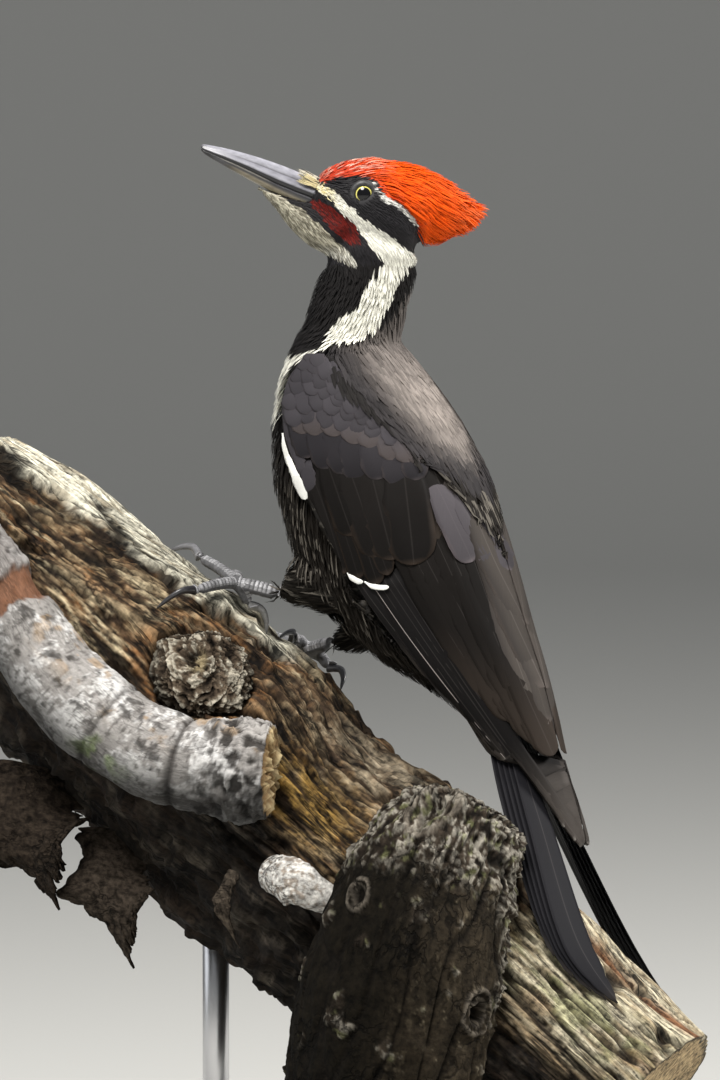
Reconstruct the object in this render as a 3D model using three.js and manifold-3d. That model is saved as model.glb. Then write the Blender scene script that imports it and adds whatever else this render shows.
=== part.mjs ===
// Adult male pileated woodpecker clinging to a cut length of weathered log on a plain display stand.
// Millimetres, +Z up. The trunk faces -X and its left side is -Y. The origin is the middle of the
// stand's underside. The bird's own parts are laid out from its eye and along its spine.
import * as THREE from "three";
import { mergeVertices } from "three/addons/utils/BufferGeometryUtils.js";
import Module from "manifold-3d";

const wasm = await Module();
wasm.setup();

const gap = 0.3; // clearance between neighbouring solids
const lookLeft = THREE.MathUtils.degToRad(26); // the head looks this far round to its left
const eyeAt = [2.0, 0, 503.7]; // middle of the head, between the eyes
const eyeRadius = 5.7;
const eyeOut = 10.4; // middle of each eyeball from the middle of the head
const billLength = 51;
const wingProud = 0.6; // the wings stand this far out of the hull
const wingWrap = THREE.MathUtils.degToRad(32); // a folded wing stops this far from the breast's middle

const logRadius = 61;
const logStart = -255; // uphill end, along the log from its middle
const logEnd = 195;
const logMiddle = [-20, -15, 211];
const logSlope = THREE.MathUtils.degToRad(39); // downhill towards the tail
const logYaw = THREE.MathUtils.degToRad(6); // the uphill end swings to the bird's left
const logRise = 5; // a swelling below the feet
const logRiseAt = -42;
const logDip = 6; // and a hollow below that
const logDipAt = 5;
const logSides = 18;
const logRings = 16;

const logUphillEnd = -168; // sawn plumb here

const baseSize = [300, 190, 14];
const rodRadius = 6;
const rods = { front: { x: -62, top: 241 }, rear: { x: 58, top: 151 } }; // their tops are in the log

const paint = {
  black: ["#2b2a2d", 0.8],
  slate: ["#3a3840", 0.7],
  red: ["#d8401c", 0.75],
  horn: ["#4a4c52", 0.4],
  paleHorn: ["#8f8a7c", 0.45],
  eye: ["#c9b24a", 0.1],
  skin: ["#6f7076", 0.65],
  claw: ["#35343a", 0.4],
  wood: ["#9a7a55", 0.9],
  bark: ["#8d8a84", 0.9],
  base: ["#26262a", 0.45],
  rod: ["#b0b2b5", 0.35],
};

const bird = new THREE.Group();
const vec = (at) => new THREE.Vector3(at[0], at[1], at[2]);
const mix = THREE.MathUtils.lerp;

// ---- making solids ----

function solid(geometry) {
  const bare = geometry.index ? geometry.toNonIndexed() : geometry.clone();
  bare.deleteAttribute("normal");
  bare.deleteAttribute("uv");
  const merged = mergeVertices(bare, 1e-4);
  const vertProperties = merged.attributes.position.array;
  const triVerts = Uint32Array.from(merged.index.array);
  const made = new wasm.Manifold(new wasm.Mesh({ numProp: 3, vertProperties, triVerts }));
  if (made.volume() >= 0) return made;
  for (let i = 0; i < triVerts.length; i += 3) {
    [triVerts[i + 1], triVerts[i + 2]] = [triVerts[i + 2], triVerts[i + 1]];
  }
  return new wasm.Manifold(new wasm.Mesh({ numProp: 3, vertProperties, triVerts }));
}

function geometryOf(body) {
  const mesh = body.getMesh();
  const positions = new Float32Array(mesh.numVert * 3);
  for (let i = 0; i < mesh.numVert; i += 1) {
    for (let k = 0; k < 3; k += 1) positions[i * 3 + k] = mesh.vertProperties[i * mesh.numProp + k];
  }
  const geometry = new THREE.BufferGeometry();
  geometry.setAttribute("position", new THREE.BufferAttribute(positions, 3));
  geometry.setIndex(new THREE.BufferAttribute(Uint32Array.from(mesh.triVerts), 1));
  geometry.computeVertexNormals();
  return geometry;
}

function add(name, body, finish) {
  const [color, roughness] = paint[finish];
  const metalness = finish === "rod" ? 0.9 : 0;
  const material = new THREE.MeshStandardMaterial({ color, roughness, metalness });
  const mesh = new THREE.Mesh(geometryOf(body), material);
  mesh.name = name;
  bird.add(mesh);
}

// The same solid on the bird's other side.
function mirrored(body) {
  return solid(geometryOf(body).scale(1, -1, 1));
}

// Both sides of a paired part, made once on the left.
function addPair(name, body, finish) {
  add(`${name}_left`, body, finish);
  add(`${name}_right`, mirrored(body), finish);
}

// A closed body swept along a smooth line through its stations. Each station is
// [x, y, z, half size above, below, to the side]; sideAt gives the sideways direction at t.
function sweep(stations, { around = 16, along = 12, cap = 0.12, grow = 0, sideAt = () => vec([0, 1, 0]) }) {
  const path = new THREE.CatmullRomCurve3(stations.map(vec));
  const sizes = new THREE.CatmullRomCurve3(stations.map((s) => vec(s.slice(3))));
  const geometry = new THREE.SphereGeometry(1, around, along);
  const points = geometry.attributes.position;
  for (let i = 0; i < points.count; i += 1) {
    const turn = Math.atan2(points.getZ(i), points.getX(i));
    const level = Math.acos(THREE.MathUtils.clamp(points.getY(i), -1, 1)) / Math.PI;
    const t = mix(level, (1 - Math.cos(level * Math.PI)) / 2, 0.5);
    const fromEnd = Math.min(t, 1 - t) / cap;
    const dome = fromEnd < 1 ? Math.sqrt(Math.max(0, 1 - (1 - fromEnd) ** 2)) : 1;
    const ahead = path.getTangent(t);
    const up = ahead.clone().cross(sideAt(t, ahead)).normalize();
    const side = up.clone().cross(ahead).normalize();
    const size = sizes.getPoint(t);
    const high = (Math.cos(turn) > 0 ? size.x : size.y) + grow;
    const at = path.getPoint(t);
    at.addScaledVector(up, Math.cos(turn) * high * dome);
    at.addScaledVector(side, Math.sin(turn) * (size.z + grow) * dome);
    at.addScaledVector(ahead, grow * (2 * t - 1));
    points.setXYZ(i, at.x, at.y, at.z);
  }
  return solid(geometry);
}

// The sideways direction for a body part that faces the way the given yaw says.
const facing = (yaw) => () => vec([-Math.sin(yaw), Math.cos(yaw), 0]);

// A place on the head from its eye: back, up and out to the right.
function onHead(back, up, out = 0) {
  const c = Math.cos(lookLeft);
  const s = Math.sin(lookLeft);
  return [eyeAt[0] + back * c - out * s, eyeAt[1] + back * s + out * c, eyeAt[2] + up];
}
const headStation = ([back, up, ...sizes]) => [...onHead(back, up), ...sizes];

function box(size, at, turn = [0, 0, 0]) {
  const geometry = new THREE.BoxGeometry(...size);
  geometry.rotateX(turn[0]);
  geometry.rotateY(turn[1]);
  geometry.rotateZ(turn[2]);
  return solid(geometry.translate(...at));
}

// ---- spine: one table gives the hull of trunk and folded wings ----

// x, z, half depth to the back, to the belly, to the side, depth of the wing's shell
const hullTable = [
  [-9, 447, 19, 20, 20, 3],
  [-9, 436, 24, 25, 27, 4],
  [-6, 423, 30, 32, 35, 5],
  [-2, 408, 36, 39, 40, 6],
  [5, 388, 42, 46, 43, 6],
  [14, 363, 46, 48, 44, 6],
  [27, 337, 44, 46, 43, 5],
  [42, 310, 38, 31, 38, 4],
  [58, 289, 31, 16, 31, 4],
  [72, 270, 23, 13, 24, 3],
  [83, 250, 17, 11, 18, 3],
  [93, 232, 13, 9, 14, 2.5],
  [104, 214, 8, 8, 11, 2],
  [112, 202, 5, 5, 9, 2],
];
const trunkRows = 10;

function hull(grow, inner = false) {
  const rows = hullTable.map(([x, z, back, belly, side, shell]) => {
    const less = inner ? shell : 0;
    return [x, 0, z, back - less, belly - less, side - less];
  });
  return sweep(rows, { around: 16, along: 14, cap: 0.06, grow });
}

const trunkRow = ([x, z, back, belly, side]) => [x, 0, z, back, belly, side];

function trunkSweep(grow = 0) {
  const rows = hullTable.slice(0, trunkRows).map(trunkRow);
  return sweep(rows, { around: 16, along: 11, cap: 0.1, grow });
}

// ---- head and neck ----

const headTable = [
  [-25, 2, 8, 9, 8],
  [-16, -1, 15.5, 14, 12.5],
  [-3, -4, 20.5, 21, 16.5],
  [10, -8, 24, 24, 18],
  [21, -13, 23, 20, 17],
  [29, -17, 18, 14, 12],
];
const chinTable = [
  [-50, 5, 1.5, 1.5, 2],
  [-39, -1, 3.5, 4.5, 5],
  [-29, -8, 8, 9, 9],
  [-18, -14, 12, 12, 13],
  [-4, -20, 16, 12, 15],
];
const crestTable = [
  [2, 2, 13.5, 12, 13],
  [18, 0, 14.5, 22, 14],
  [30, -5, 14, 21, 11],
  [39, -6.5, 11.5, 14, 7],
  [46, -7, 6.5, 9, 4],
  [53, -7.5, 1.5, 2, 1.5],
];
const neckTable = [
  [9, -16, 20, 20, 17],
  [3, -34, 21, 21, 17],
  [-2, -48, 21.5, 21.5, 18],
  [-7, -62, 22, 21.5, 20],
  [-9, -75, 25, 25, 25],
];

const headFacing = facing(lookLeft);
const headSweep = (table, around, along) =>
  sweep(table.map(headStation), { around, along, sideAt: headFacing });
const head = headSweep(headTable, 14, 9);
const chin = headSweep(chinTable, 8, 6);
const crest = headSweep(crestTable, 11, 8);

// The neck untwists from the head's line to the trunk's as it goes down.
function neckStation([back, up, ...sizes], index) {
  const [x, y, z] = onHead(back, up);
  const down = index / (neckTable.length - 1);
  return [x, y * (1 - down), z, ...sizes];
}
const neck = sweep(neckTable.map(neckStation), {
  around: 14,
  along: 7,
  sideAt: (t) => facing(lookLeft * (1 - t))(),
});

// ---- bill ----

const billTable = [
  [-20, 1, 7.6, 5, 7],
  [-32, 4.6, 7.4, 7, 6.3],
  [-50, 11.3, 6.2, 5.8, 4.6],
  [-58, 14.8, 4.9, 4.7, 3.8],
  [-66, 18.3, 3.1, 3, 2.7],
  [-22 - billLength, 20.9, 1.3, 1.1, 1.5],
];
const billSweep = (grow) =>
  sweep(billTable.map(headStation), { around: 10, along: 10, cap: 0.05, grow, sideAt: headFacing });
const biteSlope = Math.atan(0.41);
const bitePoint = onHead(-55, 13);

// Everything above a plane that slopes down towards the back of the head.
function aboveBite(lift) {
  const geometry = new THREE.BoxGeometry(200, 80, 80);
  geometry.translate(0, 0, 40 + lift);
  geometry.rotateY(biteSlope);
  geometry.rotateZ(lookLeft);
  return solid(geometry.translate(...bitePoint));
}

// ---- eyes ----

function eyeball(side, grow = 0) {
  const geometry = new THREE.SphereGeometry(eyeRadius + grow, 11, 7);
  return solid(geometry.translate(...onHead(0, 0, side * eyeOut)));
}

// ---- wings, drawn flat as seen square to the head's side, then laid on the hull ----

const sideways = vec([Math.sin(lookLeft), -Math.cos(lookLeft), 0]);
const backways = vec([Math.cos(lookLeft), Math.sin(lookLeft), 0]);

// A prism through the bird from a flat outline of [back, up] points.
function prism(outline) {
  const shape = new THREE.Shape(outline.map(([back, up]) => new THREE.Vector2(back, up)));
  const geometry = new THREE.ExtrudeGeometry(shape, { depth: 400, bevelEnabled: false });
  geometry.translate(0, 0, -200);
  return solid(geometry.applyMatrix4(new THREE.Matrix4().makeBasis(backways, vec([0, 0, 1]), sideways)));
}

const wingOutline = [
  [-27, 433], [-34, 424], [-38, 411], [-37, 396], [-32, 380], [-24, 364], [-15, 348],
  [-6, 335], [0, 323], [9, 314], [17, 307], [29, 292], [45, 274], [58, 255],
  [65, 251], [69, 253], [83, 232], [94, 217], [98, 213], [101, 217],
  [140, 300], [78, 333], [65, 339], [50, 357], [36, 375], [29, 383], [16, 395], [-4, 418], [-15, 432],
];
const covertRegion = [
  [-60, 334], [13, 334], [13, 343], [0, 353], [-8, 367], [-12, 379], [-3, 376], [8, 374],
  [19, 373], [25, 376], [30, 384], [60, 400], [60, 500], [-60, 500],
];
const secondaryRegion = [
  [12, 337], [20, 321], [36, 298], [54, 276], [72, 260], [83, 253], [90, 253], [170, 262],
  [170, 420], [-40, 420], [-40, 337],
];

// The same outline moved outwards.
function widened(outline, by) {
  const turnOf = THREE.ShapeUtils.area(outline.map(([x, y]) => ({ x, y }))) > 0 ? 1 : -1;
  const sharpest = 0.6; // sharper corners than this aren't drawn out further
  return outline.map(([x, y], i) => {
    const [lastX, lastY] = outline.at(i - 1);
    const [nextX, nextY] = outline[(i + 1) % outline.length];
    const along = new THREE.Vector2(x - lastX, y - lastY).normalize();
    along.add(new THREE.Vector2(nextX - x, nextY - y).normalize());
    const shortening = Math.max(sharpest, along.length() / 2);
    along.normalize().multiplyScalar((by * turnOf) / shortening);
    return [x + along.y, y - along.x];
  });
}

const leftOf = (y) => box([600, 200, 700], [0, y - 100, 350]);

// Everything on one side of a plane through a point.
function halfSpace(point, normal) {
  const reach = 900;
  const geometry = new THREE.BoxGeometry(reach, reach, reach);
  geometry.translate(0, 0, reach / 2);
  const turn = new THREE.Quaternion().setFromUnitVectors(vec([0, 0, 1]), vec(normal).normalize());
  return solid(geometry.applyQuaternion(turn).translate(...point));
}

// A folded wing reaches round from the spine to this plane, short of the middle of the breast.
const spineSlope = (hullTable.at(-1)[0] - hullTable[0][0]) / (hullTable.at(-1)[1] - hullTable[0][1]);
const wingFront = [Math.sin(wingWrap), -Math.cos(wingWrap), -Math.sin(wingWrap) * spineSlope];
const behindBreast = (shift) => halfSpace([hullTable[0][0] - shift, 0, hullTable[0][1]], wingFront);
const wingShell = hull(wingProud)
  .subtract(hull(0, true))
  .intersect(leftOf(-gap))
  .intersect(behindBreast(0));
const wing = wingShell.intersect(prism(wingOutline));
const coverts = wing.intersect(prism(covertRegion));
const flight = wing.subtract(prism(widened(covertRegion, gap)));
const secondaries = flight.intersect(prism(secondaryRegion));
const primaries = flight.subtract(prism(widened(secondaryRegion, gap)));

// The bed that a folded wing lies in on the trunk.
const wingBed = prism(widened(wingOutline, gap))
  .subtract(hull(-gap, true))
  .intersect(leftOf(0))
  .intersect(behindBreast(gap * 2));

// ---- thighs, shanks and feet ----

// x, y, z and half sizes, from inside the trunk to the ankle
const thighTables = {
  left: [
    [14, -22, 340, 24, 24, 15],
    [0, -21, 332, 21, 21, 14],
    [-14, -20, 330, 14, 15, 11],
    [-23.5, -18.5, 325.5, 8, 7.5, 7],
    [-30, -18, 323.5, 3.8, 3.8, 3.8],
  ],
  right: [
    [22, 20, 326, 20, 18, 15],
    [6, 20, 315, 18, 15, 14],
    [-7, 20, 307, 12, 10, 10],
    [-16, 20, 302, 7, 6.5, 6.5],
    [-24, 20, 300, 4, 4, 4],
  ],
};
const ankleRadius = 3.4;
const shankRadius = 3;

// ---- log: one function gives its surface, so feet and tail can rest on it ----

const downhill = vec([
  Math.cos(logYaw) * Math.cos(logSlope),
  Math.sin(logYaw) * Math.cos(logSlope),
  -Math.sin(logSlope),
]);
const acrossLog = vec([-Math.sin(logYaw), Math.cos(logYaw), 0]);
const offLog = acrossLog.clone().cross(downhill).negate();

// along: mm downhill from the log's middle; turn: from its crest, positive to the bird's right
function logSize(along, turn) {
  const waves = 1.8 * Math.sin(along / 31 + 2 * turn) + 1.4 * Math.sin(along / 17 - 3 * turn + 1);
  const crest = 0.5 + 0.5 * Math.cos(turn);
  const rise = crest * logRise * Math.exp(-(((along - logRiseAt) / 20) ** 2));
  const dip = crest * logDip * Math.exp(-(((along - logDipAt) / 28) ** 2));
  const ends = 9 * Math.max(0, (-along - 90) / 100) + 5 * Math.max(0, (along - 110) / 80);
  return logRadius + waves + rise - dip - ends;
}

function onLog(along, turn, height) {
  const out = logSize(along, turn) + height;
  const at = vec(logMiddle).addScaledVector(downhill, along);
  at.addScaledVector(offLog, Math.cos(turn) * out);
  return at.addScaledVector(acrossLog, Math.sin(turn) * out);
}

const outOfLog = (turn) =>
  offLog.clone().multiplyScalar(Math.cos(turn)).addScaledVector(acrossLog, Math.sin(turn));

function logBody(grow = 0) {
  const geometry = new THREE.CylinderGeometry(1, 1, 1, logSides, logRings);
  const points = geometry.attributes.position;
  for (let i = 0; i < points.count; i += 1) {
    const turn = Math.atan2(points.getX(i), points.getZ(i));
    const along = mix(logStart - grow, logEnd + grow, 0.5 - points.getY(i));
    const reach = Math.hypot(points.getX(i), points.getZ(i));
    const place = vec(logMiddle).addScaledVector(downhill, along);
    place.lerp(onLog(along, turn, grow), reach);
    points.setXYZ(i, place.x, place.y, place.z);
  }
  return solid(geometry);
}

// ---- toes: each leaves the foot's middle, arches over and comes down on the log ----

// A round tapering limb through points, thickness from first to last radius.
function taper(points, first, last, { around = 8, along = 8, flat = 1, up }) {
  const stations = points.map((p, i) => {
    const r = mix(first, last, i / (points.length - 1));
    return [p.x, p.y, p.z, r, r, r * flat];
  });
  const sideAt = (t, ahead) => ahead.clone().cross(up).negate();
  return sweep(stations, { around, along, cap: 0.14, sideAt });
}

// Where a foot stands: along and turn on the log, height of its middle.
const feet = {
  left: { along: -98, turn: -0.1, height: 10.5 },
  right: { along: -68, turn: 0.75, height: 9 },
};
// Each toe: heading from straight uphill (positive to the bird's right), its length, its claw's
// length, the height of its end and how far it arches.
const toes = {
  left: {
    inner: [-1.2, 21, 17, 6, 0.6],
    middle: [0.45, 27, 17, 7, 0.4],
    outer: [1.05, 18, 11, 7, 2],
    hind: [2.75, 11, 14, 5, 1],
  },
  right: {
    inner: [-1.35, 15, 11, 5, 3],
    middle: [0.1, 26, 16, 4, 3],
    outer: [1.2, 20, 13, 4, 3],
    hind: [-2.68, 19, 14, 5, 3],
  },
};
const toeStart = 2; // toes begin this far behind the foot's middle, so they join
const toeRadius = 2.9;
const toeEnd = 2.3;
const clawRadius = 2.2;
const clawTip = 0.4;

function footPoint(foot, heading, reach, height) {
  const along = foot.along - reach * Math.cos(heading);
  const turn = foot.turn + (reach * Math.sin(heading)) / logRadius;
  return onLog(along, turn, height);
}

function toe(foot, [heading, length, , end, arch]) {
  const arched = (t) => mix(foot.height, end, t) + arch;
  const heights = [foot.height, arched(0.33), arched(0.7), end];
  const points = heights.map((height, i) => footPoint(foot, heading, mix(-toeStart, length, i / 3), height));
  return taper(points, toeRadius, toeEnd, { around: 6, along: 5, up: outOfLog(foot.turn) });
}

function claw(foot, [heading, length, clawLength, end]) {
  const points = [
    footPoint(foot, heading, length + 2 * toeEnd * 0.14 + 0.6, end),
    footPoint(foot, heading, length + clawLength * 0.42, end + 2.6),
    footPoint(foot, heading, length + clawLength * 0.8, mix(end, 1, 0.35) + 1.4),
    footPoint(foot, heading, length + clawLength, 0.9),
  ];
  return taper(points, clawRadius, clawTip, { around: 6, along: 5, flat: 0.75, up: outOfLog(foot.turn) });
}

function shank(side) {
  const foot = feet[side];
  const ankle = vec(thighTables[side].at(-1));
  const sole = onLog(foot.along, foot.turn, foot.height);
  const start = ankle.clone().lerp(sole, 0.02);
  const points = [start, start.clone().lerp(sole, 0.33), start.clone().lerp(sole, 0.67), sole];
  return taper(points, ankleRadius, shankRadius, { around: 6, along: 4, up: vec([0, 0, 1]) });
}

// ---- tail: each feather lies from the rump to its own place on the log ----

const tailReach = [1, 0.93, 0.85, 0.76, 0.66]; // length of each pair against the middle one
const tailThickness = 0.9;
const tailStep = 1.4; // each pair lies this far under the one before it
const tailSpread = 3.2; // and its tip this far outside it
const tailRootSpread = 1.6;
const tailRoot = [72, 4, 279];
const tailTip = { along: 162, out: 31 };
const tailHalfWidths = [3, 7.5, 9, 1.6];
const tailSlope = THREE.MathUtils.degToRad(21); // from plumb, along the tail's root
const tailLift = 1;
const wingTipTop = 250;

function tailFeather(index, side, grow = 0) {
  const axisY = logMiddle[1] + downhill.y * tailTip.along;
  const turn = Math.asin((side * tailTip.out - axisY) / logRadius);
  const root = vec([tailRoot[0], side * tailRoot[1], tailRoot[2]]);
  const bend = onLog(tailTip.along - 32, turn * 0.97, 9.5);
  const middle = root.clone().lerp(bend, 0.5);
  const spine = new THREE.CatmullRomCurve3([root, middle, bend, onLog(tailTip.along, turn, 0.9)]);
  const outward = acrossLog.clone().multiplyScalar(Math.cos(turn)).addScaledVector(offLog, -Math.sin(turn));
  const stations = tailHalfWidths.map((width, i) => {
    const t = i / (tailHalfWidths.length - 1);
    const at = spine.getPoint(t * tailReach[index]);
    at.addScaledVector(outward, side * index * mix(tailRootSpread, tailSpread, t));
    at.addScaledVector(outOfLog(turn), -index * tailStep);
    return [at.x, at.y, at.z, tailThickness / 2, tailThickness / 2, width - (i === 2 ? index * 0.6 : 0)];
  });
  return sweep(stations, { around: 6, along: 8, cap: 0.08, grow, sideAt: () => outward });
}

// The wing tips lie over the tail, so nothing of them is left on its underside.
const intoBelly = [-Math.cos(tailSlope), 0, -Math.sin(tailSlope)];
const underTail = halfSpace([tailRoot[0] + tailLift, 0, tailRoot[2]], intoBelly)
  .intersect(box([400, 400, 400], [0, 0, wingTipTop - 200]));

// ---- stand and the log's own stubs ----

const beyondSaw = (grow) => box([200, 400, 600], [logUphillEnd - grow - 100, 0, 300]);
const logSolid = (grow) => logBody(grow).subtract(beyondSaw(grow));

const knotPlace = { along: -75, turn: -0.84, height: 2 };
const knotHalfSizes = [22, 18, 22];

function knot() {
  const middle = onLog(knotPlace.along, knotPlace.turn, knotPlace.height);
  const geometry = new THREE.SphereGeometry(1, 11, 7);
  return solid(geometry.scale(...knotHalfSizes).translate(middle.x, middle.y, middle.z));
}

// x, y, z and half sizes of the broken stubs
const stubTable = [
  [70, -34, 226, 26, 26, 28],
  [66, -58, 204, 35, 36, 37],
  [61, -76, 170, 42, 42, 43],
  [54, -82, 133, 44, 44, 43],
  [48, -83, 98, 43, 43, 42],
  [43, -82, 62, 42, 42, 41],
];
const limbTable = [
  [-196, -82, 374, 16, 16, 16],
  [-169, -84, 357, 16, 16, 16],
  [-147, -86, 339, 16, 16, 16],
  [-129, -88, 317, 17.5, 17.5, 17],
  [-111, -90, 293, 19.5, 19.5, 19],
  [-91, -90, 275, 20.5, 20.5, 20],
  [-70, -89, 261, 20.5, 20.5, 20],
  [-46, -86, 252, 20, 20, 20],
  [-22, -80, 250, 19.5, 20, 19],
  [0, -74, 249, 18, 19, 18],
];
const limbBreak = { at: [-9, -77, 251], facing: [0.97, 0.2, -0.12] };
const stubBreak = { at: [46, -82, 80], facing: [-0.14, 0.05, -0.99] };

// A rod from just above the base up to its top, under the log's own line.
function rod({ x, top }, grow = 0) {
  const foot = baseSize[2] + gap;
  const geometry = new THREE.CylinderGeometry(rodRadius + grow, rodRadius + grow, top - foot, 12);
  geometry.rotateX(Math.PI / 2);
  return solid(geometry.translate(x, logMiddle[1] + x * Math.tan(logYaw), (foot + top) / 2 + grow));
}

function standBase() {
  const [width, depth, height] = baseSize;
  const edge = 3;
  const corner = 20;
  const x = width / 2 - edge;
  const y = depth / 2 - edge;
  const shape = new THREE.Shape();
  shape.moveTo(-x + corner, -y);
  shape.lineTo(x - corner, -y);
  shape.absarc(x - corner, -y + corner, corner, -Math.PI / 2, 0);
  shape.lineTo(x, y - corner);
  shape.absarc(x - corner, y - corner, corner, 0, Math.PI / 2);
  shape.lineTo(-x + corner, y);
  shape.absarc(-x + corner, y - corner, corner, Math.PI / 2, Math.PI);
  shape.lineTo(-x, -y + corner);
  shape.absarc(-x + corner, -y + corner, corner, Math.PI, Math.PI * 1.5);
  const geometry = new THREE.ExtrudeGeometry(shape, {
    depth: height - edge,
    bevelThickness: edge / 2,
    bevelSize: edge,
    bevelSegments: 1,
    curveSegments: 3,
  });
  return solid(geometry.translate(0, 0, edge / 2));
}

// ---- everything together ----

// Cuts seen from the head's side: behind the crest's line, and below the throat.
const fromEye = ([back, up]) => [back + eyeAt[0] * Math.cos(lookLeft), up + eyeAt[2]];
const crestCut = (shift) =>
  prism([[2 + shift, 30], [31 + shift, -40], [90, -40], [90, 60], [2 + shift, 60]].map(fromEye));
const throatCut = (shift) =>
  prism([[-70, -24 + shift], [60, -34 + shift], [60, -140], [-70, -140]].map(fromEye));

const trunkAlone = trunkSweep().subtract(wingBed).subtract(mirrored(wingBed));
const foreparts = head.add(chin).add(crest).add(neck);
const skull = foreparts.subtract(throatCut(gap / 2));
const headAlone = skull
  .subtract(crestCut(-gap / 2))
  .subtract(billSweep(gap))
  .subtract(eyeball(-1, gap))
  .subtract(eyeball(1, gap));
add("trunk", trunkAlone, "black");
add("neck", foreparts.intersect(throatCut(-gap / 2)).subtract(trunkSweep(gap)), "black");
add("head", headAlone, "black");
add("crest", skull.intersect(crestCut(gap / 2)), "red");
addPair("wing_coverts", coverts, "slate");
addPair("secondaries", secondaries, "slate");
add("bill_upper", billSweep(0).intersect(aboveBite(gap / 2)), "horn");
add("bill_lower", billSweep(0).subtract(aboveBite(-gap / 2)), "paleHorn");
add("eye_left", eyeball(-1), "eye");
add("eye_right", eyeball(1), "eye");

const log = logSolid(0).subtract(rod(rods.front, gap)).subtract(rod(rods.rear, gap));
const logClear = logSolid(gap);

for (const [side, foot] of Object.entries(feet)) {
  const thigh = sweep(thighTables[side], { around: 12, along: 7 });
  const shanked = shank(side);
  add(`thigh_${side}`, thigh.subtract(trunkSweep(gap)), "black");
  let standing = shanked.subtract(sweep(thighTables[side], { around: 12, along: 7, grow: gap }));
  for (const shape of Object.values(toes[side])) standing = standing.add(toe(foot, shape));
  for (const [name, shape] of Object.entries(toes[side])) {
    const nail = claw(foot, shape);
    add(`claw_${name}_${side}`, nail, "claw");
  }
  add(`leg_${side}`, standing, "skin");
}
const wingTip = primaries.subtract(underTail);
for (const [side, y, tip] of [["left", -1, wingTip], ["right", 1, mirrored(wingTip)]]) {
  let primariesAlone = tip;
  for (let i = 0; i < tailReach.length; i += 1) {
    primariesAlone = primariesAlone.subtract(tailFeather(i, y, gap));
    add(`tail_${side}_${i + 1}`, tailFeather(i, y).subtract(trunkSweep(gap)), "slate");
  }
  add(`primaries_${side}`, primariesAlone, "slate");
}
add("perch_log", log, "wood");
const limbSweep = (grow) => sweep(limbTable, { around: 11, along: 7, cap: 0.04, grow });
const limb = limbSweep(0)
  .subtract(logClear)
  .subtract(beyondSaw(0))
  .subtract(halfSpace(limbBreak.at, limbBreak.facing));
add("perch_knot", knot().subtract(logClear).subtract(limbSweep(gap)), "bark");
const stub = sweep(stubTable, { around: 12, along: 6, cap: 0.06 });
add("perch_stub", stub.subtract(logClear).subtract(halfSpace(stubBreak.at, stubBreak.facing)), "bark");
add("perch_limb", limb, "bark");
add("stand_base", standBase(), "base");
add("stand_rod_front", rod(rods.front), "rod");
add("stand_rod_rear", rod(rods.rear), "rod");

export default bird;
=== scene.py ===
import math

import bmesh
import bpy
import numpy as np
from mathutils import Matrix, Vector, noise
from mathutils.bvhtree import BVHTree


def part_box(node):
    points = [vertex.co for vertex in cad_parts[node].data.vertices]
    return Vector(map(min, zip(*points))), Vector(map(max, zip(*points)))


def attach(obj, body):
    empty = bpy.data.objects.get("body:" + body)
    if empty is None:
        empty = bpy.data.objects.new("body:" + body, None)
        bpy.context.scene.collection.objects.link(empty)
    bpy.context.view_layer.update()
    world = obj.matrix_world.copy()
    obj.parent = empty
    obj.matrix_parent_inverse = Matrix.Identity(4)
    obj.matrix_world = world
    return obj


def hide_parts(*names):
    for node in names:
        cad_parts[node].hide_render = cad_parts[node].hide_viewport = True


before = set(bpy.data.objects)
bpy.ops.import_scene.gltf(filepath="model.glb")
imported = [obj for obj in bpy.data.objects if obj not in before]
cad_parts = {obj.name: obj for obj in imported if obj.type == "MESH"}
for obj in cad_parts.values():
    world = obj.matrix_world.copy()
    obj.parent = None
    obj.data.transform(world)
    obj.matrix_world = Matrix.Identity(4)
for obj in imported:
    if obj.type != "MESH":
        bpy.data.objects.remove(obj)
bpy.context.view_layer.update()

mm = 0.001
sides = {"left": -1, "right": 1}  # and the sign of each side across the bird
dice = np.random.default_rng(7)
shuffled = np.concatenate([dice.permutation(256)] * 2)


def unit(rows):
    return rows / np.maximum(np.linalg.norm(rows, axis=-1, keepdims=True), 1e-12)


slopes = unit(dice.standard_normal((256, 3)))

# places read from the frame


def middleOf(node):
    low, high = map(Vector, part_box(node))
    return (low + high) / 2


eyes = {side: middleOf(f"eye_{side}") for side in sides}
eyeMiddle = (eyes["left"] + eyes["right"]) / 2
toRight = (eyes["right"] - eyes["left"]).normalized()
toBack = Vector((toRight.y, -toRight.x, 0))  # the head faces against this
headTurn = math.atan2(toBack.y, toBack.x)
upward = Vector((0, 0, 1))


def onHead(back, up, out):  # mm from between the eyes, out to the bird's right
    ways = ((back, toBack), (up, upward), (out, toRight))
    return np.array(eyeMiddle) + sum(np.asarray(value)[..., None] * np.array(way) for value, way in ways) * mm


# curves and steps


def smoothStep(low, high, value):
    t = np.clip((np.asarray(value, float) - low) / (high - low), 0, 1)
    return t * t * (3 - 2 * t)


def bump(value, middle, width):
    return np.exp(-(((value - middle) / width) ** 2))


def cubicAt(stops, t):  # smooth curve through evenly spaced stops
    stops = np.asarray(stops, float)
    last = len(stops) - 1
    place = np.clip(np.asarray(t, float), 0, 1) * last
    i = np.minimum(place.astype(int), last - 1)
    f = (place - i)[..., None]
    a, b, c, d = (stops[np.clip(i + step, 0, last)] for step in (-1, 0, 1, 2))
    return b + 0.5 * f * (c - a + f * (2 * a - 5 * b + 4 * c - d + f * (3 * (b - c) + d - a)))


def curveAt(values, t):
    return cubicAt(np.array(values, float)[:, None], t)[:, 0]


# smooth noise for rows of (x, y, z)


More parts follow.
